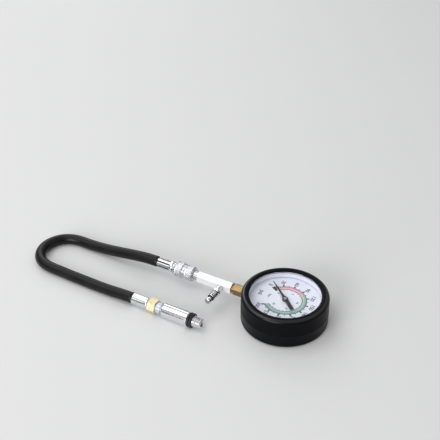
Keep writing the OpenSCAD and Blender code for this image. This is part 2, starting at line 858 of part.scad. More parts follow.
// Flat bar between the sector's tail and the tube's tip, with an eye at each end
module link() {
    color(brass)
        translate([0, 0, link_z])
            difference() {
                linear_extrude(link_t)
                    union() {
                        for (p = [tail_pin, tip_pin])
                            translate(p)
                                circle(r = tail_end_r, $fn = fine);
                        translate([tip_pin[0] - 0.7, tip_pin[1]])
                            square([1.4, tail_pin[1] - tip_pin[1]]);
                    }
                translate([tail_pin[0], tail_pin[1], -1])
                    cylinder(d = pin_d + 2 * open_pivot_gap, h = link_t + 2, $fn = fine);
                translate([tip_pin[0], tip_pin[1], -1])
                    cylinder(d = pin_d + 2 * run_gap, h = link_t + 2, $fn = fine);
            }
}

module tip_pin() {
    color(steel)
        translate([tip_pin[0], tip_pin[1], sector_z])
            cylinder(d = pin_d, h = sector_t + link_t + 0.4, $fn = fine);
}

// Section of the flattened tube, a flat oval on its edge, less a margin
module tube_section(less) {
    w = tube_w - 2 * less;
    t = tube_t - 2 * less;
    translate([tube_r, tube_z]) {
        square([t, w - t], center = true);
        for (side = [-1, 1])
            translate([0, side * (w - t) / 2])
                circle(d = t, $fn = fine);
    }
}

// Brass end that closes the tube, with a lug under the link
module tube_tip() {
    lug_in = tip_pin_inset + 0.4;
    color(brass)
        difference() {
            union() {
                rotate(tube_end - tip_angle)
                    rotate_extrude(angle = tip_angle)
                        tube_section(0);
                translate([0, 0, sector_z])
                    linear_extrude(sector_t)
                        union() {
                            translate(tip_pin)
                                circle(r = tail_end_r, $fn = fine);
                            translate([tip_pin[0] - tail_end_r, tip_pin[1] - lug_in])
                                square([2 * tail_end_r - 0.2, lug_in]);
                        }
            }
            translate([tip_pin[0], tip_pin[1], sector_z - 1])
                cylinder(d = pin_d + 2 * seat_gap, h = sector_t + 2, $fn = fine);
        }
}

// Thin flattened tube, bent into a C and soldered into the socket's slot
module bourdon_tube() {
    color(brass)
        rotate(tube_end)
            rotate_extrude(angle = tube_start - tube_end)
                difference() {
                    tube_section(0);
                    tube_section(tube_wall);
                }
}

// Stem and block

// One brass forging: thread, wrench hexagon, neck, and the socket inside the case
module socket_stem() {
    collar_l = 2.4;
    neck_from = boot_r - 1;
    color(brass)
        difference() {
            union() {
                towards_hose(0) {
                    disc(stem_neck_d / 2, -socket_out_x - 1, boot_r + collar_l);
                    disc(stem_thread_d / 2, boot_r, boot_r + stem_show + stem_thread_l);
                    intersection() {
                        translate([0, 0, boot_r + collar_l])
                            cylinder(d = stem_flats / cos(30), h = stem_show - 2 * collar_l, $fn = 6);
                        turned([
                            [0, neck_from], [stem_flats * 0.5, boot_r + collar_l],
                            [stem_flats * 0.64, boot_r + collar_l + 0.8],
                            [stem_flats * 0.64, boot_r + stem_show - collar_l - 0.8],
                            [stem_flats * 0.5, boot_r + stem_show - collar_l],
                            [0, boot_r + stem_show]]);
                    }
                }
                translate([socket_out_x, -socket_w / 2, case_floor])
                    cube([socket_in_x - socket_out_x, socket_w, socket_top - case_floor]);
                translate([socket_out_x, -socket_w / 2, case_floor])
                    cube([ledge_in_x - socket_out_x, socket_w, ledge_h]);
            }
            towards_hose(0)
                disc(passage_d / 2, tube_r, boot_r + stem_show + stem_thread_l + 1);
            translate([-tube_r, 0, tube_z])
                cylinder(d = passage_d * 0.7, h = stem_axis_h - tube_z, $fn = fine);
            translate([-tube_r, 0, tube_z])
                rotate([-90, 0, 0])
                    cylinder(d = passage_d * 0.5, h = tube_r * sin(180 - tube_start) + 0.5, $fn = fine);
            rotate(tube_start - 25)
                rotate_extrude(angle = 25)
                    tube_section(-seat_gap);
            for (side = [-1, 1]) {
                translate([socket_screw_x, side * socket_screw_y, case_floor - 1])
                    cylinder(d = socket_screw_d + 2 * seat_gap, h = socket_screw_l + 1, $fn = fine);
                translate([movement_screw_x, side * movement_screw_y, ledge_top - small_screw_l])
                    cylinder(d = small_screw_d + 2 * seat_gap, h = small_screw_l + 1, $fn = fine);
            }
        }
}

module socket_screws() {
    color(steel)
        for (side = [-1, 1])
            translate([socket_screw_x, side * socket_screw_y, case_back])
                rotate([180, 0, 0])
                    pan_screw(socket_screw_d, case_sheet + socket_screw_l - 0.4, socket_head_d, socket_head_h);
}

// Hexagonal bar, drilled along its length and from the side for the valve
module manifold_block() {
    corner_r = block_w / 2 / cos(30);
    valve_bore_r = plunger_head_d / 2 + 0.4;
    valve_bore_l = valve_thread_l + valve_seal_t + plunger_head_t + button_travel + port_room;
    color(aluminium)
        difference() {
            towards_hose(block_face)
                intersection() {
                    cylinder(r = corner_r, h = block_l, $fn = 6);
                    turned([
                        [0, 0], [corner_r - block_chamfer, 0], [corner_r + 0.1, block_chamfer / 2],
                        [corner_r + 0.1, block_l - block_chamfer / 2], [corner_r - block_chamfer, block_l],
                        [0, block_l]]);
                }
            towards_hose(block_face) {
                disc(stem_thread_d / 2 + seat_gap, -1, stem_thread_l + port_room);
                disc(passage_d / 2, -1, block_l + 1);
                disc(coupler_thread_d / 2 + seat_gap, block_l - coupler_thread_l - port_room, block_l + 1);
            }
            out_of_valve() {
                disc(valve_thread_d / 2 + seat_gap, -valve_thread_l, 1);
                disc(valve_bore_r, -valve_bore_l, 1);
            }
        }
}

// Release valve

// Turned body: thread, neck, hexagon and a grooved barrel, bored for the plunger
module valve_body() {
    groove_d = 0.45;
    groove_w = 0.7;
    grooves = 4;
    color(chrome)
        out_of_valve()
            difference() {
                union() {
                    disc(valve_thread_d / 2, -valve_thread_l, 0);
                    disc(valve_neck_d / 2, 0, valve_hex_at);
                    translate([0, 0, valve_hex_at])
                        cylinder(d = valve_hex / cos(30), h = valve_hex_l, $fn = 6);
                    turned([
                        [0, valve_barrel_at], [valve_barrel_d / 2, valve_barrel_at],
                        [valve_barrel_d / 2, valve_end - 0.5], [valve_barrel_d / 2 - 0.5, valve_end],
                        [0, valve_end]]);
                }
                for (i = [1:grooves])
                    let (at = valve_barrel_at + valve_barrel_l * i / (grooves + 1))
                    ring(valve_barrel_d / 2 - groove_d, valve_barrel_d, at - groove_w / 2, at + groove_w / 2);
                disc(plunger_d / 2 + 0.5, -valve_thread_l - 1, chamber_floor + 1);
                disc(chamber_r, chamber_floor, valve_end + 1);
            }
}

module valve_plunger() {
    head_top = -valve_thread_l - valve_seal_t;
    color(steel)
        out_of_valve() {
            disc(plunger_head_d / 2, head_top - plunger_head_t, head_top);
            disc(plunger_d / 2, head_top - plunger_head_t, button_at + button_l / 2);
        }
}

module valve_seal() {
    color(rubber)
        out_of_valve()
            ring(plunger_d / 2 + seat_gap, plunger_head_d / 2 - 0.2, -valve_thread_l - valve_seal_t, -valve_thread_l);
}

valve_spring_mid = (plunger_d / 2 + chamber_r) / 2;
module valve_spring() {
    color(steel)
        out_of_valve()
            translate([0, 0, chamber_floor])
                coil_spring(valve_spring_mid, valve_spring_wire, button_at - button_stem_l - chamber_floor, 8);
}

// Push button: a knob outside the barrel and a short guide inside it
module valve_button() {
    knob_end = button_at + button_l;
    color(chrome)
        out_of_valve()
            turned(concat(
                [[plunger_d / 2 + seat_gap, button_at - button_stem_l],
                 [button_stem_r, button_at - button_stem_l], [button_stem_r, button_at],
                 [button_d / 2 - 0.3, button_at], [button_d / 2, button_at + 0.3]],
                arc([button_d / 2 - 1, knob_end - 1], 1, 0, 90, 5),
                [[0, knob_end], [0, button_at + button_l / 2 + seat_gap],
                 [plunger_d / 2 + seat_gap, button_at + button_l / 2 + seat_gap]]));
}

// Quick coupler

// Turned body: thread, neck, spring flange and the tube that takes the plug
module coupler_body() {
    body_r = coupler_body_d / 2;
    color(steel)
        towards_hose(block_end)
            difference() {
                turned([
                    [0, -coupler_thread_l], [coupler_thread_d / 2, -coupler_thread_l], [coupler_thread_d / 2, 0],
                    [coupler_neck_d / 2, 0], [coupler_neck_d / 2, coupler_neck_l],
                    [pocket_r - flange_room, coupler_neck_l], [pocket_r - flange_room, coupler_neck_l + flange_t],
                    [body_r, coupler_neck_l + flange_t], [body_r, snap_at - seat_gap],
                    [body_r - 0.5, snap_at - seat_gap], [body_r - 0.5, snap_at + snap_t + seat_gap],
                    [body_r, snap_at + snap_t + seat_gap], [body_r, coupler_end - 0.3],
                    [body_r - 0.3, coupler_end], [0, coupler_end]]);
                disc(passage_d / 2, -coupler_thread_l - 1, coupler_bore_at + 1);
                disc(coupler_bore_r, coupler_bore_at, coupler_end + 1);
                for (i = [0:ball_count - 1])
                    translate([0, 0, ball_at])
                        rotate([0, 90, ball_turn + 360 * i / ball_count])
                            cylinder(d = ball_d + 2 * run_gap, h = body_r + 1, $fn = fine);
            }
}

module coupler_seal() {
    color(rubber)
        towards_hose(block_end)
            ring(plug_nose_r + run_gap, coupler_bore_r - seat_gap, coupler_bore_at, coupler_bore_at + 2.4);
}

module locking_balls() {
    color(steel)
        towards_hose(block_end)
            for (i = [0:ball_count - 1])
                rotate(ball_turn + 360 * i / ball_count)
                    translate([ball_ring_r, 0, ball_at])
                        sphere(d = ball_d, $fn = fine);
}

module sleeve_spring() {
    from = coupler_neck_l + flange_t;
    wire = 0.7;
    color(steel)
        towards_hose(block_end)
            translate([0, 0, from])
                coil_spring((coupler_body_d / 2 + pocket_r) / 2, wire, spring_seat_at - from, 3);
}

// Sliding sleeve: two fluted rings with a groove between them, and the ball race inside
module coupler_sleeve() {
    out_r = sleeve_d / 2;
    rear_r = out_r - rear_step;
    groove_r = out_r - sleeve_groove;
    recess_r = sleeve_in_r + ball_recess;
    snap_room_r = coupler_body_d / 2 + ball_recess;
    rear_end = sleeve_at + rear_ring_l;
    front_at = rear_end + sleeve_groove_l;
    flute_d = 1;
    flute_depth = 0.25;
    color(chrome)
        towards_hose(block_end)
            difference() {
                turned([
                    [pocket_r, sleeve_at], [rear_r - 0.5, sleeve_at], [rear_r, sleeve_at + 0.5],
                    [rear_r, rear_end - 0.4], [groove_r, rear_end], [groove_r, front_at], [out_r, front_at + 0.4],
                    [out_r, sleeve_end - sleeve_chamfer], [out_r - sleeve_chamfer, sleeve_end],
                    [snap_room_r, sleeve_end], [snap_room_r, counterbore_at], [sleeve_in_r, counterbore_at],
                    [sleeve_in_r, recess_end], [recess_r, recess_end], [recess_r, recess_at],
                    [sleeve_in_r, recess_at], [sleeve_in_r, spring_seat_at], [pocket_r, spring_seat_at]]);
                for (i = [0:sleeve_flutes - 1])
                    rotate(360 * (i + 0.5) / sleeve_flutes) {
                        translate([out_r + flute_d / 2 - flute_depth, 0, front_at + 1])
                            cylinder(d = flute_d, h = sleeve_end - 1.8 - front_at - 1, $fn = fine);
                        translate([rear_r + flute_d / 2 - flute_depth, 0, sleeve_at + 1.2])
                            cylinder(d = flute_d, h = rear_ring_l - 2.4, $fn = fine);
                    }
            }
}

// Split wire ring that keeps the sleeve on the body
module sleeve_snap_ring() {
    ring_in_r = coupler_body_d / 2 - 0.5 + seat_gap;
    color(steel)
        towards_hose(block_end)
            difference() {
                ring(ring_in_r, coupler_body_d / 2 + 0.8, snap_at, snap_at + snap_t);
                translate([0, -1, snap_at - 1])
                    cube([coupler_body_d, 2, snap_t + 2]);
            }
}

// Hose

// Plug of the coupler: nose, ball groove, collar and the barb in the hose
module hose_plug() {
    plug_r = plug_d / 2;
    groove_half = ball_d / 2 + 0.1;
    nose_at = coupler_bore_at + 0.6;
    body_at = coupler_bore_at + 4;
    collar_r = ferrule_d / 2 - 0.1;
    color(steel)
        towards_hose(block_end)
            difference() {
                turned(concat(
                    [[0, nose_at], [plug_nose_r - 0.4, nose_at], [plug_nose_r, nose_at + 0.4], [plug_nose_r, body_at],
                     [plug_r, body_at + 0.6], [plug_r, ball_at - groove_half], [plug_groove_r, ball_at - groove_half],
                     [plug_groove_r, ball_at + groove_half], [plug_r, ball_at + groove_half],
                     [plug_r, plug_collar_at], [collar_r - 0.4, plug_collar_at], [collar_r, plug_collar_at + 0.4],
                     [collar_r, ferrule_at - 0.4], [collar_r - 0.4, ferrule_at]],
                    [for (p = barb_side(barb_r, barb_l)) [p[0], ferrule_at + p[1]]],
                    [[0, ferrule_at + barb_l]]));
                disc(passage_d / 2, nose_at - 1, ferrule_at + barb_l + 1);
            }
}

// Crimped tube over the hose's end, from its lip at z = 0 to its mouth
module ferrule() {
    out_r = ferrule_d / 2;
    in_r = out_r - ferrule_wall;
    crimp_depth = 0.25;
    crimp_from = 3;
    crimp_to = ferrule_l - 3;
    difference() {
        turned([
            [barb_r + seat_gap, 0], [out_r - 0.4, 0], [out_r, 0.4], [out_r, ferrule_l - 0.4],
            [out_r - 0.3, ferrule_l], [in_r, ferrule_l], [in_r, ferrule_lip], [barb_r + seat_gap, ferrule_lip]]);
        for (i = [0:crimp_count - 1])
            rotate(360 * i / crimp_count)
                translate([out_r - crimp_depth, -out_r, crimp_from])
                    cube([1, 2 * out_r, crimp_to - crimp_from]);
    }
}

module near_ferrule() {
    color(chrome)
        towards_hose(block_end)
            translate([0, 0, ferrule_at])
                ferrule();
}

// Rubber hose along its route, pinched where the ferrules hold it
module hose() {
    last = hose_points - 1;
    function out_r(i) =
        i < pinched_points || i > last - pinched_points ? hose_pinch_r : hose_d / 2;
    color(hose_black)
        polyhedron(
            points = concat(
                [for (i = [0:last]) each ring_points(hose_route, i, out_r(i), hose_sides)],
                [for (i = [0:last]) each ring_points(hose_route, i, hose_bore_d / 2, hose_sides)]),
            faces = concat(
                [for (i = [0:last - 1]) each ring_faces(i, hose_sides, 0)],
                [for (i = [0:last - 1]) each
                    [for (f = ring_faces(i, hose_sides, hose_points * hose_sides)) [f[0], f[2], f[1]]]],
                [for (k = [0:hose_sides - 1])
                    let (n = (k + 1) % hose_sides, inner = hose_points * hose_sides)
                    each [[k, inner + k, inner + n], [k, inner + n, n]]],
                [for (k = [0:hose_sides - 1])
                    let (n = (k + 1) % hose_sides, outer = last * hose_sides, inner = outer + hose_points * hose_sides)
                    each [[outer + k, inner + n, inner + k], [outer + k, outer + n, inner + n]]]));
}

// End fitting

module far_ferrule() {
    color(chrome)
        towards_tip()
            translate([0, 0, ferrule_l])
                mirror([0, 0, 1])
                    ferrule();
}

// Turned from hexagon bar: barb in the hose, neck, hexagon and the shank in the adapter
module end_fitting() {
    corner_r = hex_flats / 2 / cos(30);
    chamfer = 0.8;
    color(yellow_zinc)
        towards_tip()
            difference() {
                union() {
                    turned(concat(
                        [[0, ferrule_l - barb_l]],
                        [for (i = [2 * barb_teeth - 1:-1:0])
                            let (p = barb_side(barb_r, barb_l)[i]) [p[0], ferrule_l - p[1]]],
                        [[fitting_neck_d / 2, ferrule_l], [fitting_neck_d / 2, hex_at], [shank_d / 2, hex_at],
                         [shank_d / 2, adapter_at + shank_l], [0, adapter_at + shank_l]]));
                    intersection() {
                        translate([0, 0, hex_at])
                            rotate(30)
                                cylinder(r = corner_r, h = hex_l, $fn = 6);
                        turned([
                            [0, hex_at], [hex_flats / 2 - 0.2, hex_at], [corner_r, hex_at + chamfer],
                            [corner_r, collar_at - chamfer], [hex_flats / 2 - 0.2, collar_at], [0, collar_at]]);
                    }
                }
                disc(far_passage_d / 2, ferrule_l - barb_l - 1, adapter_at + shank_l + 1);
            }
}

module zinc_collar() {
    r = collar_d / 2;
    bore = shank_d / 2 + seat_gap;
    color(blue_zinc)
        towards_tip()
            turned([
                [bore, collar_at], [r - 0.4, collar_at], [r, collar_at + 0.4], [r, adapter_at - 1],
                [r - 0.9, adapter_at - 0.6], [r - 0.9, adapter_at], [bore, adapter_at]]);
}

// Turned adapter: socket for the shank, body, seat of the seal rings and the spark plug thread
module adapter_tube() {
    out_r = adapter_d / 2;
    thread_r = plug_thread_d / 2;
    edge = 0.9;
    color(chrome)
        towards_tip()
            difference() {
                turned([
                    [0, adapter_at], [out_r - edge, adapter_at], [out_r, adapter_at + edge],
                    [out_r, ring_seat_at - 0.5], [out_r - 0.5, ring_seat_at], [ring_seat_r, ring_seat_at],
                    [ring_seat_r, thread_at], [thread_r, thread_at], [thread_r, thread_end - tip_chamfer],
                    [thread_r - tip_chamfer, thread_end], [0, thread_end]]);
                disc(shank_d / 2 + seat_gap, adapter_at - 1, adapter_at + shank_l + 0.5);
                disc(far_passage_d / 2, adapter_at, check_floor + 1);
                disc(core_d / 2 + seat_gap, check_floor, thread_end + 1);
            }
}

module seal_rings() {
    mid_r = ring_seat_r + seal_ring_t / 2 + seat_gap;
    color(rubber)
        towards_tip()
            for (i = [0, 1])
                translate([0, 0, ring_seat_at + seal_ring_t * (i + 0.5)])
                    rotate_extrude()
                        translate([mid_r, 0])
                            circle(d = seal_ring_t - seat_gap, $fn = fine);
}

module check_valve_body() {
    color(brass)
        towards_tip()
            ring(core_bore_d / 2, core_d / 2, core_at, core_at + core_l);
}

module check_valve_seal() {
    color(rubber)
        towards_tip()
            ring(check_pin_d / 2 + seat_gap, check_head_d / 2, core_at - check_seal_t, core_at);
}

module check_valve_pin() {
    color(brass)
        towards_tip() {
            disc(check_head_d / 2, check_head_at, check_head_at + check_head_t);
            disc(check_pin_d / 2, check_head_at, core_at + core_l + 0.3);
        }
}

module check_valve_spring() {
    color(steel)
        towards_tip()
            translate([0, 0, check_floor])
                coil_spring(check_head_d / 2 - check_wire, check_wire, check_spring_l, 7);
}

boot();
case_cup();
bezel_ring();
lens();
lens_gasket();
dial_spacer_ring();
dial_plate();
stop_pin();
pointer();
pointer_bush();
pinion_arbor();
hairspring();
hairspring_stud();
movement_front_plate();
plate_screws();
movement_pillars();
sector_gear();
sector_arbor();
link_pin();
link();
tip_pin();
tube_tip();
bourdon_tube();
movement_back_plate();
movement_screws();
socket_stem();
socket_screws();
manifold_block();
valve_body();
valve_seal();
valve_plunger();
valve_spring();
valve_button();
coupler_body();
coupler_seal();
locking_balls();
sleeve_spring();
coupler_sleeve();
sleeve_snap_ring();
hose_plug();
near_ferrule();
hose();
far_ferrule();
end_fitting();
zinc_collar();
adapter_tube();
seal_rings();
check_valve_body();
check_valve_seal();
check_valve_pin();
check_valve_spring();
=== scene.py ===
"""Looks of the compression tester gauge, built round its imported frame."""

import math

import bmesh
import bpy
from mathutils import Matrix, Vector


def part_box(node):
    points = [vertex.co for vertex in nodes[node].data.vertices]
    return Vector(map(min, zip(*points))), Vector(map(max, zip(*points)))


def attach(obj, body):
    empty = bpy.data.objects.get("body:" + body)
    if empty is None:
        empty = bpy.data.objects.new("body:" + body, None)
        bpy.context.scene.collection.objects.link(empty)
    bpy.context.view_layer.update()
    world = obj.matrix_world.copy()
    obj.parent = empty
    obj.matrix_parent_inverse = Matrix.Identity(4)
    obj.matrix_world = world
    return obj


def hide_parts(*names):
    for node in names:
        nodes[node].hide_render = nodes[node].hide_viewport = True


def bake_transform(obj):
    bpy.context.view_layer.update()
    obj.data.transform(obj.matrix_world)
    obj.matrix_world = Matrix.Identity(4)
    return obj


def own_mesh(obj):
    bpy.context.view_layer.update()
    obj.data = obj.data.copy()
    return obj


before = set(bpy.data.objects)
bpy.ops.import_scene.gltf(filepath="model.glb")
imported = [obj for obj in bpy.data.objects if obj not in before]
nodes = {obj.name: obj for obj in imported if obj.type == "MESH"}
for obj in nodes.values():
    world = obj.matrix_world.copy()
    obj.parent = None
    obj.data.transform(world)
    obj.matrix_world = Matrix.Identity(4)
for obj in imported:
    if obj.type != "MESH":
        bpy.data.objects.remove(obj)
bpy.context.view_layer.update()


# Socket and stem
# One brass forging: the socket inside the case, the neck through the boot and the hexagon for a
# wrench. It is turned and milled, so fine tool rings run round its axis, and it is left bare.
class Level:
    """A value that changes over a surface. Sums and products of levels add Math nodes."""

    def __init__(self, tree, socket):
        self.tree = tree
        self.socket = socket

    def maths(self, operation, first, second=0.0):
        return self.tree.node("ShaderNodeMath", {"operation": operation}, {0: first, 1: second})

    def __add__(self, other):
        return self.maths("ADD", self, other)

    __radd__ = __add__

    def __sub__(self, other):
        return self.maths("SUBTRACT", self, other)

    def __rsub__(self, other):
        return self.maths("SUBTRACT", other, self)

    def __mul__(self, other):
        return self.maths("MULTIPLY", self, other)

    __rmul__ = __mul__

    def __lt__(self, other):
        return self.maths("LESS_THAN", self, other)

    def __gt__(self, other):
        return self.maths("GREATER_THAN", self, other)


class Tree:
    """A node tree in the making: node() adds one node and returns its output as a level."""

    def __init__(self, tree):
        self.tree = tree

    def feed(self, node, inputs):
        for name, value in inputs.items():
            if isinstance(value, Level):
                self.tree.links.new(value.socket, node.inputs[name])
            else:
                node.inputs[name].default_value = value

    def node(self, kind, settings=None, inputs=None, output=0):
        made = self.tree.nodes.new(kind)
        for name, value in (settings or {}).items():
            if name == "stops":
                ramp = made.color_ramp
                while len(ramp.elements) < len(value):
                    ramp.elements.new(1.0)
                for element, (position, colour) in zip(ramp.elements, value):
                    element.position = position
                    element.color = colour
            else:
                setattr(made, name, value)
        self.feed(made, inputs or {})
        return Level(self, made.outputs[output])


class Finish(Tree):
    """A piece's material, on coordinates in the part's own frame."""

    def __init__(self, name, even):
        self.material = bpy.data.materials.new(name)
        self.material.use_nodes = True
        super().__init__(self.material.node_tree)
        self.shader = self.tree.nodes["Principled BSDF"]
        self.place = self.node("ShaderNodeTexCoord", output="Object")
        self.paint(even)

    def paint(self, inputs):
        self.feed(self.shader, inputs)

    def noise(self, spot, stretch=(1, 1, 1), detail=3.0):
        """Noise with spots of so many millimetres, which a stretch under 1 draws out."""
        place = self.node("ShaderNodeMapping", {}, {"Vector": self.place, "Scale": stretch})
        return self.node("ShaderNodeTexNoise", {}, {"Vector": place, "Scale": 1000 / spot, "Detail": detail})

    def mix(self, share, first, second):
        return self.node("ShaderNodeMix", {"data_type": "RGBA"}, {0: share, 6: first, 7: second}, 2)

    def contrast(self, level, low, high):
        """The level drawn out so that low becomes 0 and high becomes 1."""
        return self.node("ShaderNodeMapRange", {}, {"Value": level, "From Min": low, "From Max": high})

    def relief(self, height, depth):
        """A normal for ridges of so many millimetres."""
        return self.node("ShaderNodeBump", {}, {"Height": height, "Distance": depth / 1000})

    def across(self, axis):
        """Place along one axis of the part's frame."""
        return self.node("ShaderNodeSeparateXYZ", {}, {0: self.place}, axis)

    def off_axis(self, centre, flatten):
        """Distance from a line through a centre; flatten is 0 along the line and 1 across it."""
        away = self.node("ShaderNodeVectorMath", {"operation": "SUBTRACT"}, {0: self.place, 1: centre})
        away = self.node("ShaderNodeVectorMath", {"operation": "MULTIPLY"}, {0: away, 1: flatten})
        return self.node("ShaderNodeVectorMath", {"operation": "LENGTH"}, {0: away}, "Value")

    def darken(self, share, colour):
        """Lays another colour over the base colour that is there."""
        base = Level(self, self.shader.inputs["Base Color"].links[0].from_socket)
        self.paint({"Base Color": self.mix(share, base, colour)})


def tint(red, green, blue):
    """Colour of a surface that looks like these 0 to 255 values."""
    return (*[((value / 255 + 0.055) / 1.055) ** 2.4 for value in (red, green, blue)], 1.0)


ROUND_X = (1.0, 0.06, 0.06)
ROUND_Y = (0.06, 1.0, 0.06)
ROUND_Z = (0.06, 0.06, 1.0)
EVENLY = (1.0, 1.0, 1.0)


def bare_metal(name, colour, stain, stained, gloss, marks):
    """Metal with tool marks: gloss is its least and most roughness, marks the way the tool ran."""
    metal = Finish(name, {"Metallic": 1.0})
    streaks = metal.noise(0.35, marks)
    clouds = metal.contrast(metal.noise(6.0), 0.35, 0.75)
    metal.paint({
        "Base Color": metal.mix(clouds * stained, colour, stain),
        "Roughness": gloss[0] + (gloss[1] - gloss[0]) * (streaks * 0.7 + clouds * 0.3),
        "Normal": metal.relief(streaks, 0.004),
    })
    return metal


def dress(finish, *names):
    """CAD nodes that have the right shape take a finish as they are."""
    for name in names:
        nodes[name].data.materials.clear()
        nodes[name].data.materials.append(finish.material)


BRASS = tint(154, 131, 92)
TARNISH = tint(130, 102, 64)
turned_brass = bare_metal("turned_brass", BRASS, TARNISH, 0.6, (0.16, 0.34), ROUND_X)
screw_steel = bare_metal("screw_steel", tint(196, 198, 202), tint(150, 150, 152), 0.5, (0.25, 0.42), EVENLY)
dress(turned_brass, "socket_stem")
dress(screw_steel, "socket_screws")


# Bourdon tube
# Thin flattened brass tube, bent into a C and soldered into the socket's slot. Its drawn surface
# has faint lines along the bend. Pressure would open its last quarter; here it keeps one shape.
TUBE_R = 27.0
TUBE_WIDE = 7.0
TUBE_THICK = 2.2
TUBE_WALL = 0.35
TUBE_FROM = 175
TUBE_TO = -96
TUBE_STEPS = 90
HALF_ROUND = 8
TUBE_Z = sum(corner.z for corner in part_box("bourdon_tube")) / 2


def add_piece(name, mesh, body, finish=None):
    """A new piece in the part's frame, with its place in its mesh. One given no body rides on none."""
    piece = bpy.data.objects.new(name, mesh)
    bpy.context.scene.collection.objects.link(piece)
    if finish:
        mesh.materials.clear()
        mesh.materials.append(finish.material)
    if body:
        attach(piece, body)
    return piece


def mesh_from(bm, name, smooth):
    """Closes a bmesh that was drawn in millimetres, and turns it into a mesh in metres."""
    bmesh.ops.remove_doubles(bm, verts=bm.verts, dist=2e-3)
    bmesh.ops.recalc_face_normals(bm, faces=bm.faces)
    bm.transform(Matrix.Scale(0.001, 4))
    mesh = bpy.data.meshes.new(name)
    bm.to_mesh(mesh)
    bm.free()
    if smooth:
        mesh.shade_smooth()
    return mesh


def flattened(less):
    """Points round the tube's section as radius and height in millimetres, so far inside its skin."""
    bend = TUBE_THICK / 2 - less
    straight = (TUBE_WIDE - TUBE_THICK) / 2
    points = []
    for side in (1, -1):
        for k in range(HALF_ROUND + 1):
            a = math.pi * k / HALF_ROUND
            out = TUBE_R + side * bend * math.cos(a)
            up = TUBE_Z * 1000 + side * (straight + bend * math.sin(a))
            points.append((out, up))
    return points


tube_shape = bmesh.new()
skins = []
for less in (0.0, TUBE_WALL):
    rows = []
    for k in range(TUBE_STEPS + 1):
        a = math.radians(TUBE_FROM + (TUBE_TO - TUBE_FROM) * k / TUBE_STEPS)
        rows.append([tube_shape.verts.new((r * math.cos(a), r * math.sin(a), z)) for r, z in flattened(less)])
    for one, two in zip(rows, rows[1:]):
        for n in range(len(one)):
            tube_shape.faces.new((one[n - 1], one[n], two[n], two[n - 1]))
    skins.append(rows)
for end in (0, -1):
    outer = skins[0][end]
    inner = skins[1][end]
    for n in range(len(outer)):
        tube_shape.faces.new((outer[n - 1], outer[n], inner[n], inner[n - 1]))
drawn_brass = bare_metal("drawn_brass", BRASS, TARNISH, 0.7, (0.24, 0.4), ROUND_Z)
bent_tube = add_piece("bent_tube", mesh_from(tube_shape, "bent_tube", True), None, drawn_brass)
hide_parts("bourdon_tube")
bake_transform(bent_tube)
dress(drawn_brass, "tube_tip")
dress(screw_steel, "tip_pin")


# Movement
# Two stamped brass plates on three pillars carry the sector and the pinion. Plates, sector and
# link are sheet brass with a tumbled skin, the arbors and screws are turned steel.
sheet_brass = bare_metal("sheet_brass", tint(212, 170, 98), TARNISH, 0.4, (0.28, 0.45), EVENLY)
dress(sheet_brass, "movement_back_plate", "movement_front_plate", "sector_gear", "link")
dress(sheet_brass, "movement_pillars", "hairspring", "hairspring_stud")
dress(screw_steel, "plate_screws", "movement_screws", "pinion_arbor", "sector_arbor", "link_pin")


# Case cup
# Deep-drawn steel cup, sprayed black inside the boot. Two screws through its back hold the
# socket. The paint is thin and satin, with the fine ripple of a sprayed coat.
case_paint = Finish("case_paint", {"Metallic": 0.0})
spray = case_paint.noise(0.8)
case_paint.paint({
    "Base Color": case_paint.mix(case_paint.noise(9.0), tint(34, 35, 38), tint(46, 47, 50)),
    "Roughness": 0.38 + spray * 0.16,
    "Normal": case_paint.relief(spray, 0.02),
})
dress(case_paint, "case_cup")


# Dial plate
# Aluminium disc with a white enamel coat that lies on the case's bead. The scale, its coloured
# band and the figures are screen printed, so each is a thin layer of ink on the enamel.
enamel = Finish("dial_enamel", {"Specular IOR Level": 0.4})
enamel.paint({
    "Base Color": enamel.mix(enamel.noise(14.0), tint(228, 232, 243), tint(222, 226, 238)),
    "Roughness": 0.42 + enamel.noise(2.5) * 0.12,
    "Normal": enamel.relief(enamel.noise(0.5), 0.006),
})
dress(enamel, "dial_plate")


def ink(name, colour, faded):
    """Screen ink: matt, and a little uneven where the mesh of the screen let less of it through."""
    coat = Finish(name, {"Specular IOR Level": 0.3})
    cover = coat.contrast(coat.noise(0.5), 0.3, 0.7)
    coat.paint({
        "Base Color": coat.mix(cover, colour, faded),
        "Roughness": 0.55 + cover * 0.15,
    })
    return coat


DIAL_FACE = 21.3
INK_BASE = DIAL_FACE + 0.02
INK_COAT = 0.03
SCALE_START = 148
SCALE_SWEEP = 284
FULL_SCALE = 300
BAR = 14.5038


def scale_angle(pressure):
    return math.radians(SCALE_START - SCALE_SWEEP * pressure / FULL_SCALE)


def lettering(bm, words, height, x, y):
    """Adds raised letters that stand upright when twelve o'clock, +X, is up."""
    curve = bpy.data.curves.new("lettering", "FONT")
    curve.body = words
    curve.size = height
    curve.align_x = "CENTER"
    curve.align_y = "CENTER"
    curve.extrude = INK_COAT / 2
    curve.resolution_u = 4
    curve.offset = height * 0.018
    holder = bpy.data.objects.new("lettering", curve)
    mesh = bpy.data.meshes.new_from_object(holder)
    upright = Matrix.Rotation(-math.pi / 2, 4, "Z")
    mesh.transform(Matrix.Translation((x, y, INK_BASE + INK_COAT / 2)) @ upright)
    bm.from_mesh(mesh)
    bpy.data.objects.remove(holder)
    bpy.data.curves.remove(curve)
    bpy.data.meshes.remove(mesh)


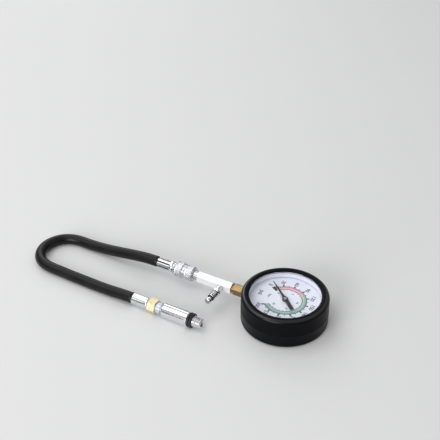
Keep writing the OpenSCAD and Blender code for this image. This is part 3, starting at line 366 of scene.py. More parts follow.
FIGURE_R = 25.6
FIGURE_H = 5.2
BAR_FIGURE_R = 11.4
BAR_FIGURE_H = 3.0
figures = bmesh.new()
for pressure in range(0, FULL_SCALE + 1, 30):
    a = scale_angle(pressure)
    lettering(figures, str(pressure), FIGURE_H, FIGURE_R * math.cos(a), FIGURE_R * math.sin(a))
for pressure in range(0, 21, 5):
    a = scale_angle(pressure * BAR)
    lettering(figures, str(pressure), BAR_FIGURE_H, BAR_FIGURE_R * math.cos(a), BAR_FIGURE_R * math.sin(a))
lettering(figures, "psi", 6.0, -24.0, -0.8)
lettering(figures, "bar", 3.8, -15.4, -1.0)
bmesh.ops.remove_doubles(figures, verts=figures.verts, dist=INK_COAT * 0.4)
figure_ink = ink("figure_ink", tint(40, 44, 64), tint(58, 62, 84))
add_piece("dial_figures", mesh_from(figures, "dial_figures", False), "gauge", figure_ink)


def arc_prism(bm, in_r, out_r, start, end, base, top, steps):
    """Adds a closed flat ring sector, from one angle to another in degrees."""
    rows = []
    for i in range(steps + 1):
        a = math.radians(start + (end - start) * i / steps)
        rows.append([bm.verts.new((r * math.cos(a), r * math.sin(a), z))
                     for r, z in ((in_r, base), (out_r, base), (out_r, top), (in_r, top))])
    for one, two in zip(rows, rows[1:]):
        for k in range(4):
            bm.faces.new((one[k], one[(k + 1) % 4], two[(k + 1) % 4], two[k]))
    bm.faces.new(rows[0])
    bm.faces.new(rows[-1][::-1])


BAND_IN = 15.2
BAND_OUT = 19.9
BAND_START = SCALE_START - 9
BAND_END = SCALE_START - SCALE_SWEEP
EDGE_LINE = 0.7
band = bmesh.new()
arc_prism(band, BAND_IN, BAND_OUT, BAND_START, BAND_END, INK_BASE, INK_BASE + INK_COAT, 180)


def by_scale(coat, stops):
    """Colour that goes along the scale: red where the pressure is low, green where it is good."""
    turn = coat.node("ShaderNodeMath", {"operation": "ARCTAN2"}, {0: coat.across("Y"), 1: coat.across("X")})
    share = coat.node("ShaderNodeMapRange", {}, {
        "Value": turn, "From Min": math.radians(BAND_START), "From Max": math.radians(BAND_END)})
    return coat.node("ShaderNodeValToRGB", {"stops": stops}, {0: share})


LINE_COLOURS = [
    (0.0, tint(160, 58, 84)), (0.26, tint(156, 60, 82)), (0.31, tint(132, 92, 66)),
    (0.36, tint(72, 98, 64)), (0.4, tint(26, 92, 68)), (1.0, tint(24, 88, 70))]
WASH_COLOURS = [
    (0.0, tint(218, 186, 198)), (0.25, tint(216, 182, 194)), (0.31, tint(206, 188, 178)),
    (0.37, tint(178, 194, 178)), (0.42, tint(160, 196, 186)), (1.0, tint(156, 190, 184))]
band_ink = ink("band_ink", tint(200, 90, 90), tint(220, 120, 120))
out = band_ink.off_axis((0, 0, 0), (1, 1, 0))
edge_line = (out < (BAND_IN + EDGE_LINE) / 1000) + (out > (BAND_OUT - EDGE_LINE) / 1000)
band_ink.paint({"Base Color": band_ink.mix(
    edge_line, by_scale(band_ink, WASH_COLOURS), by_scale(band_ink, LINE_COLOURS))})
add_piece("dial_band", mesh_from(band, "dial_band", False), "gauge", band_ink)

ZERO_OUT = 21.6
ZERO_FROM = 141.6
ZERO_TO = 150.2
zero_bar = bmesh.new()
arc_prism(zero_bar, BAND_IN, ZERO_OUT, ZERO_FROM, ZERO_TO, INK_BASE, INK_BASE + INK_COAT, 6)
scale_ink = ink("scale_ink", tint(22, 24, 34), tint(38, 40, 52))
add_piece("dial_zero_bar", mesh_from(zero_bar, "dial_zero_bar", False), "gauge", scale_ink)

marks = Tree(bpy.data.node_groups.new("scale_marks", "GeometryNodeTree"))
MARK_INPUTS = {
    "First": "NodeSocketFloat", "Count": "NodeSocketInt", "Step": "NodeSocketFloat",
    "Radius": "NodeSocketFloat", "Length": "NodeSocketFloat", "Width": "NodeSocketFloat",
    "Ink": "NodeSocketMaterial",
}
for label, kind in MARK_INPUTS.items():
    marks.tree.interface.new_socket(label, in_out="INPUT", socket_type=kind)
marks.tree.interface.new_socket("Marks", in_out="OUTPUT", socket_type="NodeSocketGeometry")
given = marks.tree.nodes.new("NodeGroupInput")
given = {label: Level(marks, given.outputs[label]) for label in MARK_INPUTS}
mark_number = given["First"] + marks.node("GeometryNodeInputIndex")
mark_turn = math.radians(SCALE_START) - given["Step"] * mark_number
mark_place = marks.node("ShaderNodeCombineXYZ", {}, {
    "X": given["Radius"] * mark_turn.maths("COSINE", mark_turn),
    "Y": given["Radius"] * mark_turn.maths("SINE", mark_turn),
    "Z": (INK_BASE + INK_COAT) / 1000,
})
mark_points = marks.node("GeometryNodePoints", {}, {"Count": given["Count"], "Position": mark_place})
mark_size = marks.node("ShaderNodeCombineXYZ", {}, {
    "X": given["Length"], "Y": given["Width"], "Z": INK_COAT / 1000})
mark_box = marks.node("GeometryNodeMeshCube", {}, {"Size": mark_size})
mark_angles = marks.node("ShaderNodeCombineXYZ", {}, {"Z": mark_turn})
mark_rotation = marks.node("FunctionNodeEulerToRotation", {}, {0: mark_angles})
mark_copies = marks.node("GeometryNodeInstanceOnPoints", {}, {
    "Points": mark_points, "Instance": mark_box, "Rotation": mark_rotation})
mark_solid = marks.node("GeometryNodeRealizeInstances", {}, {0: mark_copies})
mark_inked = marks.node("GeometryNodeSetMaterial", {}, {"Geometry": mark_solid, "Material": given["Ink"]})
marks.feed(marks.tree.nodes.new("NodeGroupOutput"), {"Marks": mark_inked})


def grown(tree, name, inputs, start=None):
    """The plain mesh that a geometry tree makes from its named inputs."""
    holder = bpy.data.objects.new(name, start or bpy.data.meshes.new(name))
    bpy.context.scene.collection.objects.link(holder)
    modifier = holder.modifiers.new(name, "NODES")
    modifier.node_group = tree.tree
    for item in tree.tree.interface.items_tree:
        if item.in_out == "INPUT" and item.name in inputs:
            modifier[item.identifier] = inputs[item.name]
    mesh = bpy.data.meshes.new_from_object(holder.evaluated_get(bpy.context.evaluated_depsgraph_get()))
    mesh.name = name
    bpy.data.objects.remove(holder)
    return mesh


fine_ink = ink("fine_ink", tint(30, 100, 76), tint(60, 120, 96))
fine_ink.paint({"Base Color": by_scale(fine_ink, LINE_COLOURS)})
MARKS = (
    ("dial_main_marks", 1.0, 10, FULL_SCALE / 10, 20.9, 2.5, 1.5, scale_ink),
    ("dial_half_marks", 0.5, 10, FULL_SCALE / 10, 20.3, 1.7, 0.6, scale_ink),
    ("dial_fine_marks", 2.0, 59, FULL_SCALE / 60, 18.6, 2.1, 0.5, fine_ink),
    ("dial_bar_marks", 1.0, 20, BAR, 14.6, 1.5, 0.34, fine_ink),
)
for name, first, count, pressure, radius, length, width, coat in MARKS:
    mesh = grown(marks, name, {
        "First": first, "Count": count, "Step": math.radians(SCALE_SWEEP * pressure / FULL_SCALE),
        "Radius": radius / 1000, "Length": length / 1000, "Width": width / 1000, "Ink": coat.material})
    add_piece(name, mesh, "gauge")


# Pointer
# Stamped from thin aluminium and sprayed matt blue-black, with a turned bush riveted in its boss.
# The bush is bare, so the middle of the boss shows as a grey spot.
pointer_paint = ink("pointer_paint", tint(8, 11, 22), tint(14, 18, 32))
pointer_paint.paint({"Specular IOR Level": 0.12})
bush_metal = bare_metal("bush_metal", tint(150, 154, 164), tint(110, 114, 124), 0.4, (0.3, 0.45), ROUND_Z)
dress(pointer_paint, "pointer", "stop_pin")
dress(bush_metal, "pointer_bush")


# Spacer, gasket, lens and bezel
# A white moulded ring holds the dial down and the lens up. The lens is a clear disc, and a thin
# bright steel ring pressed over the case's rim closes the stack.
def eased(profile, size, closed, steps=4):
    """A profile with its corners rounded; a close point on each side keeps the walls straight."""
    points = [Vector(point) for point in profile]
    made = []
    for i, corner in enumerate(points):
        if not closed and i in (0, len(points) - 1):
            made.append(corner)
            continue
        before = points[i - 1] - corner
        after = points[(i + 1) % len(points)] - corner
        cut = min(size, before.length * 0.35, after.length * 0.35)
        start = corner + before.normalized() * cut
        end = corner + after.normalized() * cut
        made.append(start + before.normalized() * cut * 0.25)
        for k in range(steps + 1):
            t = k / steps
            made.append(start * (1 - t) ** 2 + corner * 2 * t * (1 - t) + end * t * t)
        made.append(end + after.normalized() * cut * 0.25)
    return made


def turned(name, profile, sides, axis, closed=True, reach=None):
    """Mesh of (along, radius) points turned round an axis; reach may change a radius by its angle."""
    bm = bmesh.new()
    rows = []
    for along, radius in profile:
        row = []
        for k in range(sides):
            a = 2 * math.pi * k / sides
            r = reach(along, radius, a) if reach else radius
            row.append(bm.verts.new(axis @ Vector((r * math.cos(a), r * math.sin(a), along))))
        rows.append(row)
    pairs = list(zip(rows, rows[1:]))
    if closed:
        pairs.append((rows[-1], rows[0]))
    for one, two in pairs:
        for k in range(sides):
            n = (k + 1) % sides
            bm.faces.new((one[k], one[n], two[n], two[k]))
    return mesh_from(bm, name, True)


UPRIGHT = Matrix.Identity(4)
SPACER_IN = 32.83
SPACER_OUT = 34.1
SPACER_TOP = 26.2
SPACER_FOOT = DIAL_FACE + 0.55
moulded_white = Finish("moulded_white", {"Specular IOR Level": 0.45})
moulded_white.paint({
    "Base Color": moulded_white.mix(moulded_white.noise(8.0), tint(212, 212, 226), tint(202, 202, 218)),
    "Roughness": 0.36 + moulded_white.noise(1.2) * 0.14,
    "Normal": moulded_white.relief(moulded_white.noise(0.4), 0.006),
})
# Painted shade: the ring is darker towards its foot, where it stands on the dial.
painted_foot_shade = moulded_white.contrast(
    moulded_white.across("Z"), (DIAL_FACE + 1.3) / 1000, (DIAL_FACE + 0.5) / 1000)
moulded_white.darken(painted_foot_shade * 0.6, tint(110, 112, 132))
spacer_profile = eased([
    (DIAL_FACE, SPACER_OUT - 0.5), (DIAL_FACE, SPACER_OUT), (SPACER_TOP, SPACER_OUT), (SPACER_TOP, SPACER_IN),
    (24.9, SPACER_IN), (24.75, SPACER_IN + 0.3), (23.3, SPACER_IN + 0.3), (23.15, SPACER_IN),
    (SPACER_FOOT, SPACER_IN - 0.25), (SPACER_FOOT, SPACER_OUT - 0.5),
], 0.12, True)
spacer_mesh = turned("spacer_ring", spacer_profile, 160, UPRIGHT)
spacer = add_piece("spacer_ring", spacer_mesh, "gauge", moulded_white)
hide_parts("dial_spacer_ring")
dress(moulded_white, "lens_gasket")

clear_lens = Finish("clear_lens", {
    "Base Color": (1.0, 1.0, 1.0, 1.0), "Transmission Weight": 1.0, "IOR": 1.45, "Roughness": 0.0})
output = clear_lens.tree.nodes["Material Output"]
lamp_light = clear_lens.node("ShaderNodeLightPath", output="Is Shadow Ray")
let_through = clear_lens.node("ShaderNodeBsdfTransparent")
lens_surface = clear_lens.node("ShaderNodeMixShader", {}, {
    0: lamp_light, 1: Level(clear_lens, clear_lens.shader.outputs[0]), 2: let_through})
clear_lens.feed(output, {"Surface": lens_surface})
dress(clear_lens, "lens")

pressed_steel = bare_metal(
    "pressed_steel", tint(226, 228, 232), tint(200, 202, 208), 0.4, (0.12, 0.24), ROUND_Z)
dress(pressed_steel, "bezel_ring")


# Boot
# Soft black rubber, moulded in one piece and stretched over the case. It has a rounded lip over
# the bezel, a thin parting line round its middle, and a hole for the stem.
BOOT_R = 40.0
BOOT_TOP = 30.0
BOOT_EDGE = 3.4
PARTING = 13.2
AXIS_Z = 14.5
STEM_HOLE_R = 4.5
DRILL_SIDES = 48
boot_profile = [(0.0, 28.5), (0.0, BOOT_R - BOOT_EDGE)]
boot_profile += [
    (BOOT_EDGE - BOOT_EDGE * math.cos(a), BOOT_R - BOOT_EDGE + BOOT_EDGE * math.sin(a))
    for a in [math.radians(9 * k) for k in range(1, 11)]]
boot_profile += [(PARTING - 0.35, BOOT_R), (PARTING, BOOT_R + 0.12), (PARTING + 0.35, BOOT_R)]
boot_profile += [
    (BOOT_TOP - BOOT_EDGE + BOOT_EDGE * math.sin(a), BOOT_R - BOOT_EDGE + BOOT_EDGE * math.cos(a))
    for a in [math.radians(7.5 * k) for k in range(13)]]
boot_profile += [
    (BOOT_TOP - 0.02, 36.45), (BOOT_TOP - 0.12, 36.32), (BOOT_TOP - 0.26, 36.24), (BOOT_TOP - 0.3, 36.1),
    (BOOT_TOP - 0.26, 35.96), (BOOT_TOP - 0.12, 35.88), (BOOT_TOP - 0.04, 35.74),
    (BOOT_TOP - 0.1, 35.2), (BOOT_TOP - 0.32, 33.9), (BOOT_TOP - 0.6, 33.1), (BOOT_TOP - 0.9, 32.75),
    (28.9, 32.65), (28.72, 32.75), (28.7, 35.6), (21.9, 35.63), (21.85, 35.1), (2.52, 35.1), (2.5, 28.6)]
boot_mesh = turned("boot_blank", boot_profile, 180, UPRIGHT)
TO_STEM = Matrix(((0, 0, -1, 0), (0, 1, 0, 0), (1, 0, 0, AXIS_Z), (0, 0, 0, 1)))
drill_profile = [(30.0, 0.0), (30.0, STEM_HOLE_R), (42.0, STEM_HOLE_R), (42.0, 0.0)]
half_step = Matrix.Rotation(math.pi / DRILL_SIDES, 4, "Z")
stem_drill = turned("stem_drill", drill_profile, DRILL_SIDES, TO_STEM @ half_step, closed=False)
blank = bpy.data.objects.new("boot_blank", boot_mesh)
drill = bpy.data.objects.new("stem_drill", stem_drill)
for tool in (blank, drill):
    bpy.context.scene.collection.objects.link(tool)
cut = blank.modifiers.new("stem_hole", "BOOLEAN")
cut.object = drill
cut.solver = "EXACT"
boot_mesh = bpy.data.meshes.new_from_object(blank.evaluated_get(bpy.context.evaluated_depsgraph_get()))
for tool in (blank, drill):
    bpy.data.objects.remove(tool)

boot_rubber = Finish("boot_rubber", {"Specular IOR Level": 0.08, "Coat Roughness": 0.2})
pebble = boot_rubber.noise(0.35)
scuff = boot_rubber.contrast(boot_rubber.noise(7.0, detail=6.0), 0.5, 0.8)
shiny_edge = boot_rubber.contrast(boot_rubber.across("Z"), (BOOT_TOP - 1.8) / 1000, (BOOT_TOP - 0.8) / 1000)
shiny_edge *= boot_rubber.contrast(boot_rubber.off_axis((0, 0, 0), (1, 1, 0)), 0.0362, 0.0372)
boot_rubber.paint({
    "Base Color": boot_rubber.mix(scuff, tint(8, 9, 12), tint(14, 15, 19)),
    "Coat Weight": shiny_edge * 0.9,
    "Roughness": 0.3 + scuff * 0.16 + pebble * 0.1,
    "Normal": boot_rubber.relief(pebble, 0.02),
})
boot = add_piece("rubber_boot", boot_mesh, "gauge", boot_rubber)
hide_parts("boot")


# Block
# Hexagonal bar of aluminium, drilled and tapped at both ends and at the side, then fine-blasted
# and anodised. That leaves it satin and nearly white, with faint draw marks along the bar.
ALONG_X = (0.04, 1.0, 1.0)
satin_white = bare_metal(
    "satin_aluminium", tint(242, 242, 244), tint(230, 230, 233), 0.35, (0.36, 0.48), ALONG_X)
satin_white.paint({"Metallic": 0.3})
dress(satin_white, "manifold_block")


# Release valve
# Screwed into the block's side: plated neck and hexagon, then a grip with bright turned ridges and
# blacked grooves, and a push button. Pressing the button lifts the plunger off its seat.
VALVE_X = -64.6
BAR_SIDE = -5.2
OUT_OF_VALVE = Matrix(((1, 0, 0, VALVE_X), (0, 0, -1, BAR_SIDE), (0, 1, 0, AXIS_Z), (0, 0, 0, 1)))
VALVE_HEX = 7.4
HEX_AT = 6.0
GRIP_AT = 9.0
GRIP_END = 17.6
GRIP_R = 3.5
RIDGES = 4
GROOVE = 0.45
CHAMBER_R = 2.3
PLUNGER_HOLE_R = 1.5


def flats(across, count, turn):
    """Radius of a many-sided bar by angle, with its corners taken off by the turned radius."""
    part = 2 * math.pi / count

    def reach(radius, angle):
        off = (angle - turn) % part - part / 2
        return min(radius, across / 2 / math.cos(off))
    return reach


hexagon = flats(VALVE_HEX, 6, 0)
valve_profile = [
    (-3.8, PLUNGER_HOLE_R), (-3.8, 3.2), (0.0, 3.2), (0.0, 2.9), (5.5, 2.9), (HEX_AT, 3.6), (6.4, 4.27),
    (8.6, 4.27), (GRIP_AT, 3.7), (9.2, 3.0)]
ridge = (GRIP_END - GRIP_AT - 1.0) / RIDGES
for k in range(RIDGES):
    start = GRIP_AT + 0.4 + ridge * k
    valve_profile += [
        (start, GRIP_R - GROOVE), (start + ridge * 0.4, GRIP_R - GROOVE), (start + ridge * 0.46, GRIP_R),
        (start + ridge * 0.94, GRIP_R)]
valve_profile += [
    (GRIP_END - 0.5, GRIP_R - GROOVE), (GRIP_END, GRIP_R - 0.5), (GRIP_END, CHAMBER_R), (2.0, CHAMBER_R),
    (2.0, PLUNGER_HOLE_R)]


def hexed(along, radius, angle):
    return hexagon(radius, angle) if HEX_AT < along < GRIP_AT else radius


valve_mesh = turned("valve_housing", eased(valve_profile, 0.16, True, 3), 96, OUT_OF_VALVE, reach=hexed)
valve_finish = Finish("valve_finish", {})
from_middle = valve_finish.off_axis((-0.0646, 0, 0.0145), (1, 0, 1))
blacked = (valve_finish.across("Y") < -0.0143) * (from_middle < (GRIP_R - 0.2) / 1000)
rings = valve_finish.noise(0.35, ROUND_Y)
valve_finish.paint({
    "Base Color": valve_finish.mix(blacked, tint(226, 228, 231), tint(26, 27, 30)),
    "Metallic": 1.0 - blacked,
    "Roughness": 0.12 + rings * 0.12 + blacked * 0.2,
    "Normal": valve_finish.relief(rings, 0.004),
})
valve = add_piece("valve_housing", valve_mesh, "gauge", valve_finish)
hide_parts("valve_body")

bright_y = bare_metal("bright_chrome_y", tint(230, 231, 234), tint(196, 198, 204), 0.3, (0.06, 0.16), ROUND_Y)
seal_rubber = Finish("seal_rubber", {"Specular IOR Level": 0.5})
moulded_skin = seal_rubber.noise(0.3)
seal_rubber.paint({
    "Base Color": seal_rubber.mix(seal_rubber.noise(3.0), tint(20, 20, 22), tint(34, 34, 36)),
    "Roughness": 0.36 + moulded_skin * 0.16,
    "Normal": seal_rubber.relief(moulded_skin, 0.008),
})
dress(bright_y, "valve_button")
dress(screw_steel, "valve_plunger")
dress(seal_rubber, "valve_seal")

coil = Tree(bpy.data.node_groups.new("coil_spring", "GeometryNodeTree"))
COIL_INPUTS = {
    "Turns": "NodeSocketFloat", "Radius": "NodeSocketFloat", "Rise": "NodeSocketFloat",
    "Wire": "NodeSocketFloat", "Steel": "NodeSocketMaterial",
}
for label, kind in COIL_INPUTS.items():
    coil.tree.interface.new_socket(label, in_out="INPUT", socket_type=kind)
coil.tree.interface.new_socket("Spring", in_out="OUTPUT", socket_type="NodeSocketGeometry")
given = coil.tree.nodes.new("NodeGroupInput")
given = {label: Level(coil, given.outputs[label]) for label in COIL_INPUTS}
winding = coil.node("GeometryNodeCurveSpiral", {}, {
    "Resolution": 28, "Rotations": given["Turns"], "Start Radius": given["Radius"],
    "End Radius": given["Radius"], "Height": given["Rise"]})
wire_section = coil.node("GeometryNodeCurvePrimitiveCircle", {"mode": "RADIUS"}, {
    "Resolution": 10, "Radius": given["Wire"] * 0.5})
wound = coil.node("GeometryNodeCurveToMesh", {}, {
    "Curve": winding, "Profile Curve": wire_section, "Fill Caps": True})
wound = coil.node("GeometryNodeSetMaterial", {}, {"Geometry": wound, "Material": given["Steel"]})
coil.feed(coil.tree.nodes.new("NodeGroupOutput"), {"Spring": wound})


def add_spring(node, body, place, seat, length, radius, wire, turns):
    """A wound spring in a CAD spring's place, resting on its seat."""
    name = node + "_wire"
    mesh = grown(coil, name, {
        "Turns": turns, "Radius": radius, "Rise": length - wire, "Wire": wire, "Steel": screw_steel.material})
    to_metres = Matrix.Scale(0.001, 4) @ place
    mesh.transform(to_metres @ Matrix.Translation((0, 0, seat + wire / 2)))
    mesh.shade_smooth()
    piece = add_piece(name, mesh, body)
    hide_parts(node)
    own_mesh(piece)
    return piece


add_spring("valve_spring", "gauge", OUT_OF_VALVE, seat=2.0, length=16.0, radius=1.65, wire=0.6, turns=8.0)


# Quick coupler
# A chromed sleeve slides on a steel body. Pulled towards the block, it lets the balls rise out of
# the plug's groove. Both of its rings are fluted for grip, with a plain groove between them.
BAR_END = -90.0
TO_HOSE = Matrix(((0, 0, -1, BAR_END), (0, 1, 0, 0), (1, 0, 0, AXIS_Z), (0, 0, 0, 1)))
REAR_R = 7.1
FRONT_R = 7.6
REAR_RING = (5.6, 13.8)
FRONT_RING = (16.4, 24.85)
FLUTES = 24
FLUTE_DEPTH = 0.3


def ramped(value, start, end, ease):
    """1 between two stations along the axis, and easing to 0 at both."""
    inside = min((value - start) / ease, (end - value) / ease)
    return max(0.0, min(1.0, inside))


def fluted(along, radius, angle):
    if radius < 6.9:
        return radius
    share = max(ramped(along, REAR_RING[0] + 1.0, REAR_RING[1] - 1.0, 0.8),
                ramped(along, FRONT_RING[0] + 0.8, FRONT_RING[1] - 1.6, 0.8))
    wave = 0.5 - 0.5 * math.cos(angle * FLUTES)
    return radius - FLUTE_DEPTH * share * wave ** 2


def stations(start, end, count):
    return [start + (end - start) * k / count for k in range(1, count)]


sleeve_outer = [(5.6, 6.4), (5.6, 6.65), (6.1, REAR_R)]
sleeve_outer += [(s, REAR_R) for s in stations(6.1, 13.4, 14)]
sleeve_outer += [(13.4, REAR_R), (13.8, 6.7), (16.4, 6.7), (16.8, FRONT_R)]
sleeve_outer += [(s, FRONT_R) for s in stations(16.8, 23.85, 14)]
sleeve_outer += [(23.85, FRONT_R), (24.85, 6.6)]
sleeve_inner = [
    (24.85, 6.1), (22.75, 6.1), (22.75, 5.25), (20.95, 5.25), (20.95, 6.25), (16.95, 6.25), (16.95, 5.25),
    (13.0, 5.25), (13.0, 6.4)]
sleeve_profile = eased(sleeve_outer, 0.12, False, 2) + sleeve_inner
sleeve_mesh = turned("fluted_sleeve", sleeve_profile, 192, TO_HOSE, reach=fluted)
chrome_x = bare_metal("bright_chrome_x", tint(232, 232, 235), tint(198, 200, 206), 0.3, (0.07, 0.18), ROUND_X)
sleeve_chrome = bare_metal(
    "satin_chrome", tint(212, 212, 217), tint(188, 190, 197), 0.5, (0.22, 0.33), ROUND_X)
sleeve = add_piece("fluted_sleeve", sleeve_mesh, "sleeve", sleeve_chrome)
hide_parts("coupler_sleeve")
body_steel = bare_metal("coupler_steel", tint(208, 210, 214), tint(170, 172, 178), 0.4, (0.16, 0.3), ROUND_X)
dress(body_steel, "coupler_body")
dress(seal_rubber, "coupler_seal")
dress(screw_steel, "locking_balls", "sleeve_snap_ring")
add_spring("sleeve_spring", "gauge", TO_HOSE, seat=6.4, length=6.6, radius=5.75, wire=0.7, turns=3.0)


# Hose plug and near ferrule
# The plug is turned steel with a barb pushed into the hose. The ferrule is a thin plated tube,
# crimped over the hose by eight jaws, which leave round lobes with narrow grooves between them.
JAWS = 8
CRIMP = 0.6
FERRULE_L = 17.0
FERRULE_R = 5.5


def crimped(from_lip, radius, angle):
    """Radius of a ferrule's wall where the jaws pressed it, at a distance from its lip."""
    if radius < 5.2:
        return radius
    share = ramped(from_lip, 2.6, 20.0, 0.8)
    off = abs((angle * JAWS / (2 * math.pi)) % 1.0 - 0.5) * 2
    return radius - CRIMP * share * max(0.0, (off - 0.4) / 0.6) ** 1.2


def ferrule_profile(lip):
    wall = [(0.0, 2.73), (0.0, 5.1), (0.4, FERRULE_R)]
    wall += [(s, FERRULE_R) for s in stations(0.4, FERRULE_L - 0.4, 26)]
    wall += [(FERRULE_L - 0.4, FERRULE_R), (FERRULE_L, 5.25), (FERRULE_L, 4.72), (1.0, 4.72), (1.0, 2.73)]
    return [(lip(along), radius) for along, radius in wall]


NEAR_LIP = 27.85
near_mesh = turned("near_crimp", ferrule_profile(lambda s: NEAR_LIP + s), 192, TO_HOSE,
                   reach=lambda along, radius, angle: crimped(along - NEAR_LIP, radius, angle))
crimp_chrome = bare_metal("crimp_chrome", tint(232, 232, 235), tint(198, 200, 206), 0.3, (0.1, 0.2), ROUND_X)
groove_shade = crimp_chrome.contrast(crimp_chrome.off_axis((0, 0, 0.0145), (0, 1, 1)), 0.00538, 0.00515)
crimp_chrome.darken(groove_shade * 0.9, tint(24, 24, 26))
near_crimp = add_piece("near_crimp", near_mesh, "hose", crimp_chrome)
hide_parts("near_ferrule")
dress(body_steel, "hose_plug")


# Hose
# Black rubber pressure hose with a cord ply inside. Its cover was cured in a wrap of wet cloth
# tape, so a faint spiral and a fine weave show in the rubber. It is pinched inside the ferrules.
HOSE_R = 5.25
PINCHED_R = 4.6
TIP_START = -131.0
TIP_Y = -50.5
TIP_Z = 7.05
HOSE_ROUTE = [
    (-119.85, 0, AXIS_Z), (-127.35, 0, AXIS_Z), (-134.85, 0, AXIS_Z), (-135.65, 0, AXIS_Z), (-150, 0, 13.8),
    (-165, 0, 11.8), (-180, 0, 9.3), (-195, 0, 7.1), (-210, 0, 5.7), (-220, 0, 5.3), (-229, 0, HOSE_R),
    (-238.5, -2, HOSE_R), (-246.5, -7, HOSE_R), (-252, -15, HOSE_R), (-254, -24.5, HOSE_R),
    (-252, -34, HOSE_R), (-246.5, -42, HOSE_R), (-238.5, -47, HOSE_R), (-229, -49, HOSE_R),
    (-215, -49.5, HOSE_R), (-200, -50, HOSE_R), (-185, -50.2, HOSE_R), (-170, -50.4, 5.3), (-157, TIP_Y, 5.7),
    (-144, TIP_Y, 6.6), (-131.8, TIP_Y, TIP_Z), (TIP_START, TIP_Y, TIP_Z), (-123.5, TIP_Y, TIP_Z),
    (-116, TIP_Y, TIP_Z),
]
ROUTE_STEPS = 8
route = [Vector(point) for point in HOSE_ROUTE]
hose_line = []
hose_width = []
for i in range(len(route) - 1):
    here, there = route[i], route[i + 1]
    gap = (there - here).length
    before = route[max(i - 1, 0)]
    after = route[min(i + 2, len(route) - 1)]
    leave = (there - before).normalized() * gap / 3
    arrive = (after - here).normalized() * gap / 3
    ends = [PINCHED_R if k < 3 or k > len(route) - 4 else HOSE_R for k in (i, i + 1)]
    steps = ROUTE_STEPS if gap > 2 else 2
    for k in range(steps):
        t = k / steps
        s = 1 - t
        hose_line.append(here * s ** 3 + (here + leave) * 3 * s * s * t + (there - arrive) * 3 * s * t * t
                         + there * t ** 3)
        hose_width.append(ends[0] + (ends[1] - ends[0]) * t)
hose_line.append(route[-1])
hose_width.append(PINCHED_R)
hose_line = [point / 1000 for point in hose_line]

sweep = Tree(bpy.data.node_groups.new("hose_along_route", "GeometryNodeTree"))
SWEEP_INPUTS = {"Route": "NodeSocketGeometry", "Sides": "NodeSocketInt", "Rubber": "NodeSocketMaterial"}
for label, kind in SWEEP_INPUTS.items():
    sweep.tree.interface.new_socket(label, in_out="INPUT", socket_type=kind)
sweep.tree.interface.new_socket("Hose", in_out="OUTPUT", socket_type="NodeSocketGeometry")
given = sweep.tree.nodes.new("NodeGroupInput")
given = {label: Level(sweep, given.outputs[label]) for label in SWEEP_INPUTS}
line = sweep.node("GeometryNodeMeshToCurve", {}, {"Mesh": given["Route"]})
PER_POINT = {"data_type": "FLOAT", "domain": "POINT"}
metres_along = sweep.node("GeometryNodeSplineParameter", output="Length")
line = sweep.node("GeometryNodeStoreNamedAttribute", PER_POINT, {
    "Geometry": line, "Name": "along", "Value": metres_along})
circle = sweep.node("GeometryNodeCurvePrimitiveCircle", {"mode": "RADIUS"}, {
    "Resolution": given["Sides"], "Radius": 1.0})
share_around = sweep.node("GeometryNodeSplineParameter", output="Factor")
circle = sweep.node("GeometryNodeStoreNamedAttribute", PER_POINT, {
    "Geometry": circle, "Name": "around", "Value": share_around})
width = sweep.node("GeometryNodeInputNamedAttribute", {"data_type": "FLOAT"}, {"Name": "width"})
tube = sweep.node("GeometryNodeCurveToMesh", {}, {
    "Curve": line, "Profile Curve": circle, "Scale": width, "Fill Caps": True})
tube = sweep.node("GeometryNodeRealizeInstances", {}, {0: tube})
tube = sweep.node("GeometryNodeSetMaterial", {}, {"Geometry": tube, "Material": given["Rubber"]})
sweep.feed(sweep.tree.nodes.new("NodeGroupOutput"), {"Hose": tube})

hose_rubber = Finish("hose_rubber", {"Specular IOR Level": 0.25})
along = hose_rubber.node("ShaderNodeAttribute", {"attribute_name": "along"}, output="Fac")
around = hose_rubber.node("ShaderNodeAttribute", {"attribute_name": "around"}, output="Fac")
TAPE = 0.026
THREAD_GAP = 0.0009
WEFTS = 36
spiral = along * (1 / TAPE) + around
tape_edge = hose_rubber.node("ShaderNodeMath", {"operation": "FRACT"}, {0: spiral})
tape_edge = (tape_edge < 0.04) + (tape_edge > 0.97)
threads = along * (2 * math.pi / THREAD_GAP)
wefts = around * (2 * math.pi * WEFTS)
weave = threads.maths("SINE", threads) * wefts.maths("SINE", wefts) * 0.5 + hose_rubber.noise(0.45) * 0.5
dull = hose_rubber.contrast(hose_rubber.noise(16.0, detail=5.0), 0.35, 0.75)
hose_rubber.paint({
    "Base Color": hose_rubber.mix(dull, tint(12, 12, 12), tint(24, 23, 21)),
    "Roughness": 0.26 + dull * 0.14 + weave * 0.06,
    "Normal": hose_rubber.relief(weave * 0.5 + tape_edge * 0.6, 0.018),
})
hose_base = bpy.data.meshes.new("hose_line")
hose_base.from_pydata(hose_line, [(k, k + 1) for k in range(len(hose_line) - 1)], [])
attribute = hose_base.attributes.new("width", "FLOAT", "POINT")
attribute.data.foreach_set("value", [width / 1000 for width in hose_width])
hose_mesh = grown(sweep, "rubber_hose", {"Sides": 40, "Rubber": hose_rubber.material}, hose_base)
hose_mesh.shade_smooth()
hose = add_piece("rubber_hose", hose_mesh, "hose")
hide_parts("hose")


# Far ferrule and end fitting
# The far ferrule is a smooth plated tube. The fitting's hexagon is yellow zinc on steel, and the
# collar behind it clear blue zinc, both with the faint rainbow clouds of a passivated skin.
TO_TIP = Matrix(((0, 0, 1, TIP_START), (0, 1, 0, TIP_Y), (-1, 0, 0, TIP_Z), (0, 0, 0, 1)))


def smooth_crimp(along, radius, angle):
    return radius - (radius - crimped(FERRULE_L - along, radius, angle)) * 0.3


far_mesh = turned("far_crimp", ferrule_profile(lambda s: FERRULE_L - s), 128, TO_TIP, reach=smooth_crimp)
far_crimp = add_piece("far_crimp", far_mesh, "hose", chrome_x)
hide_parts("far_ferrule")


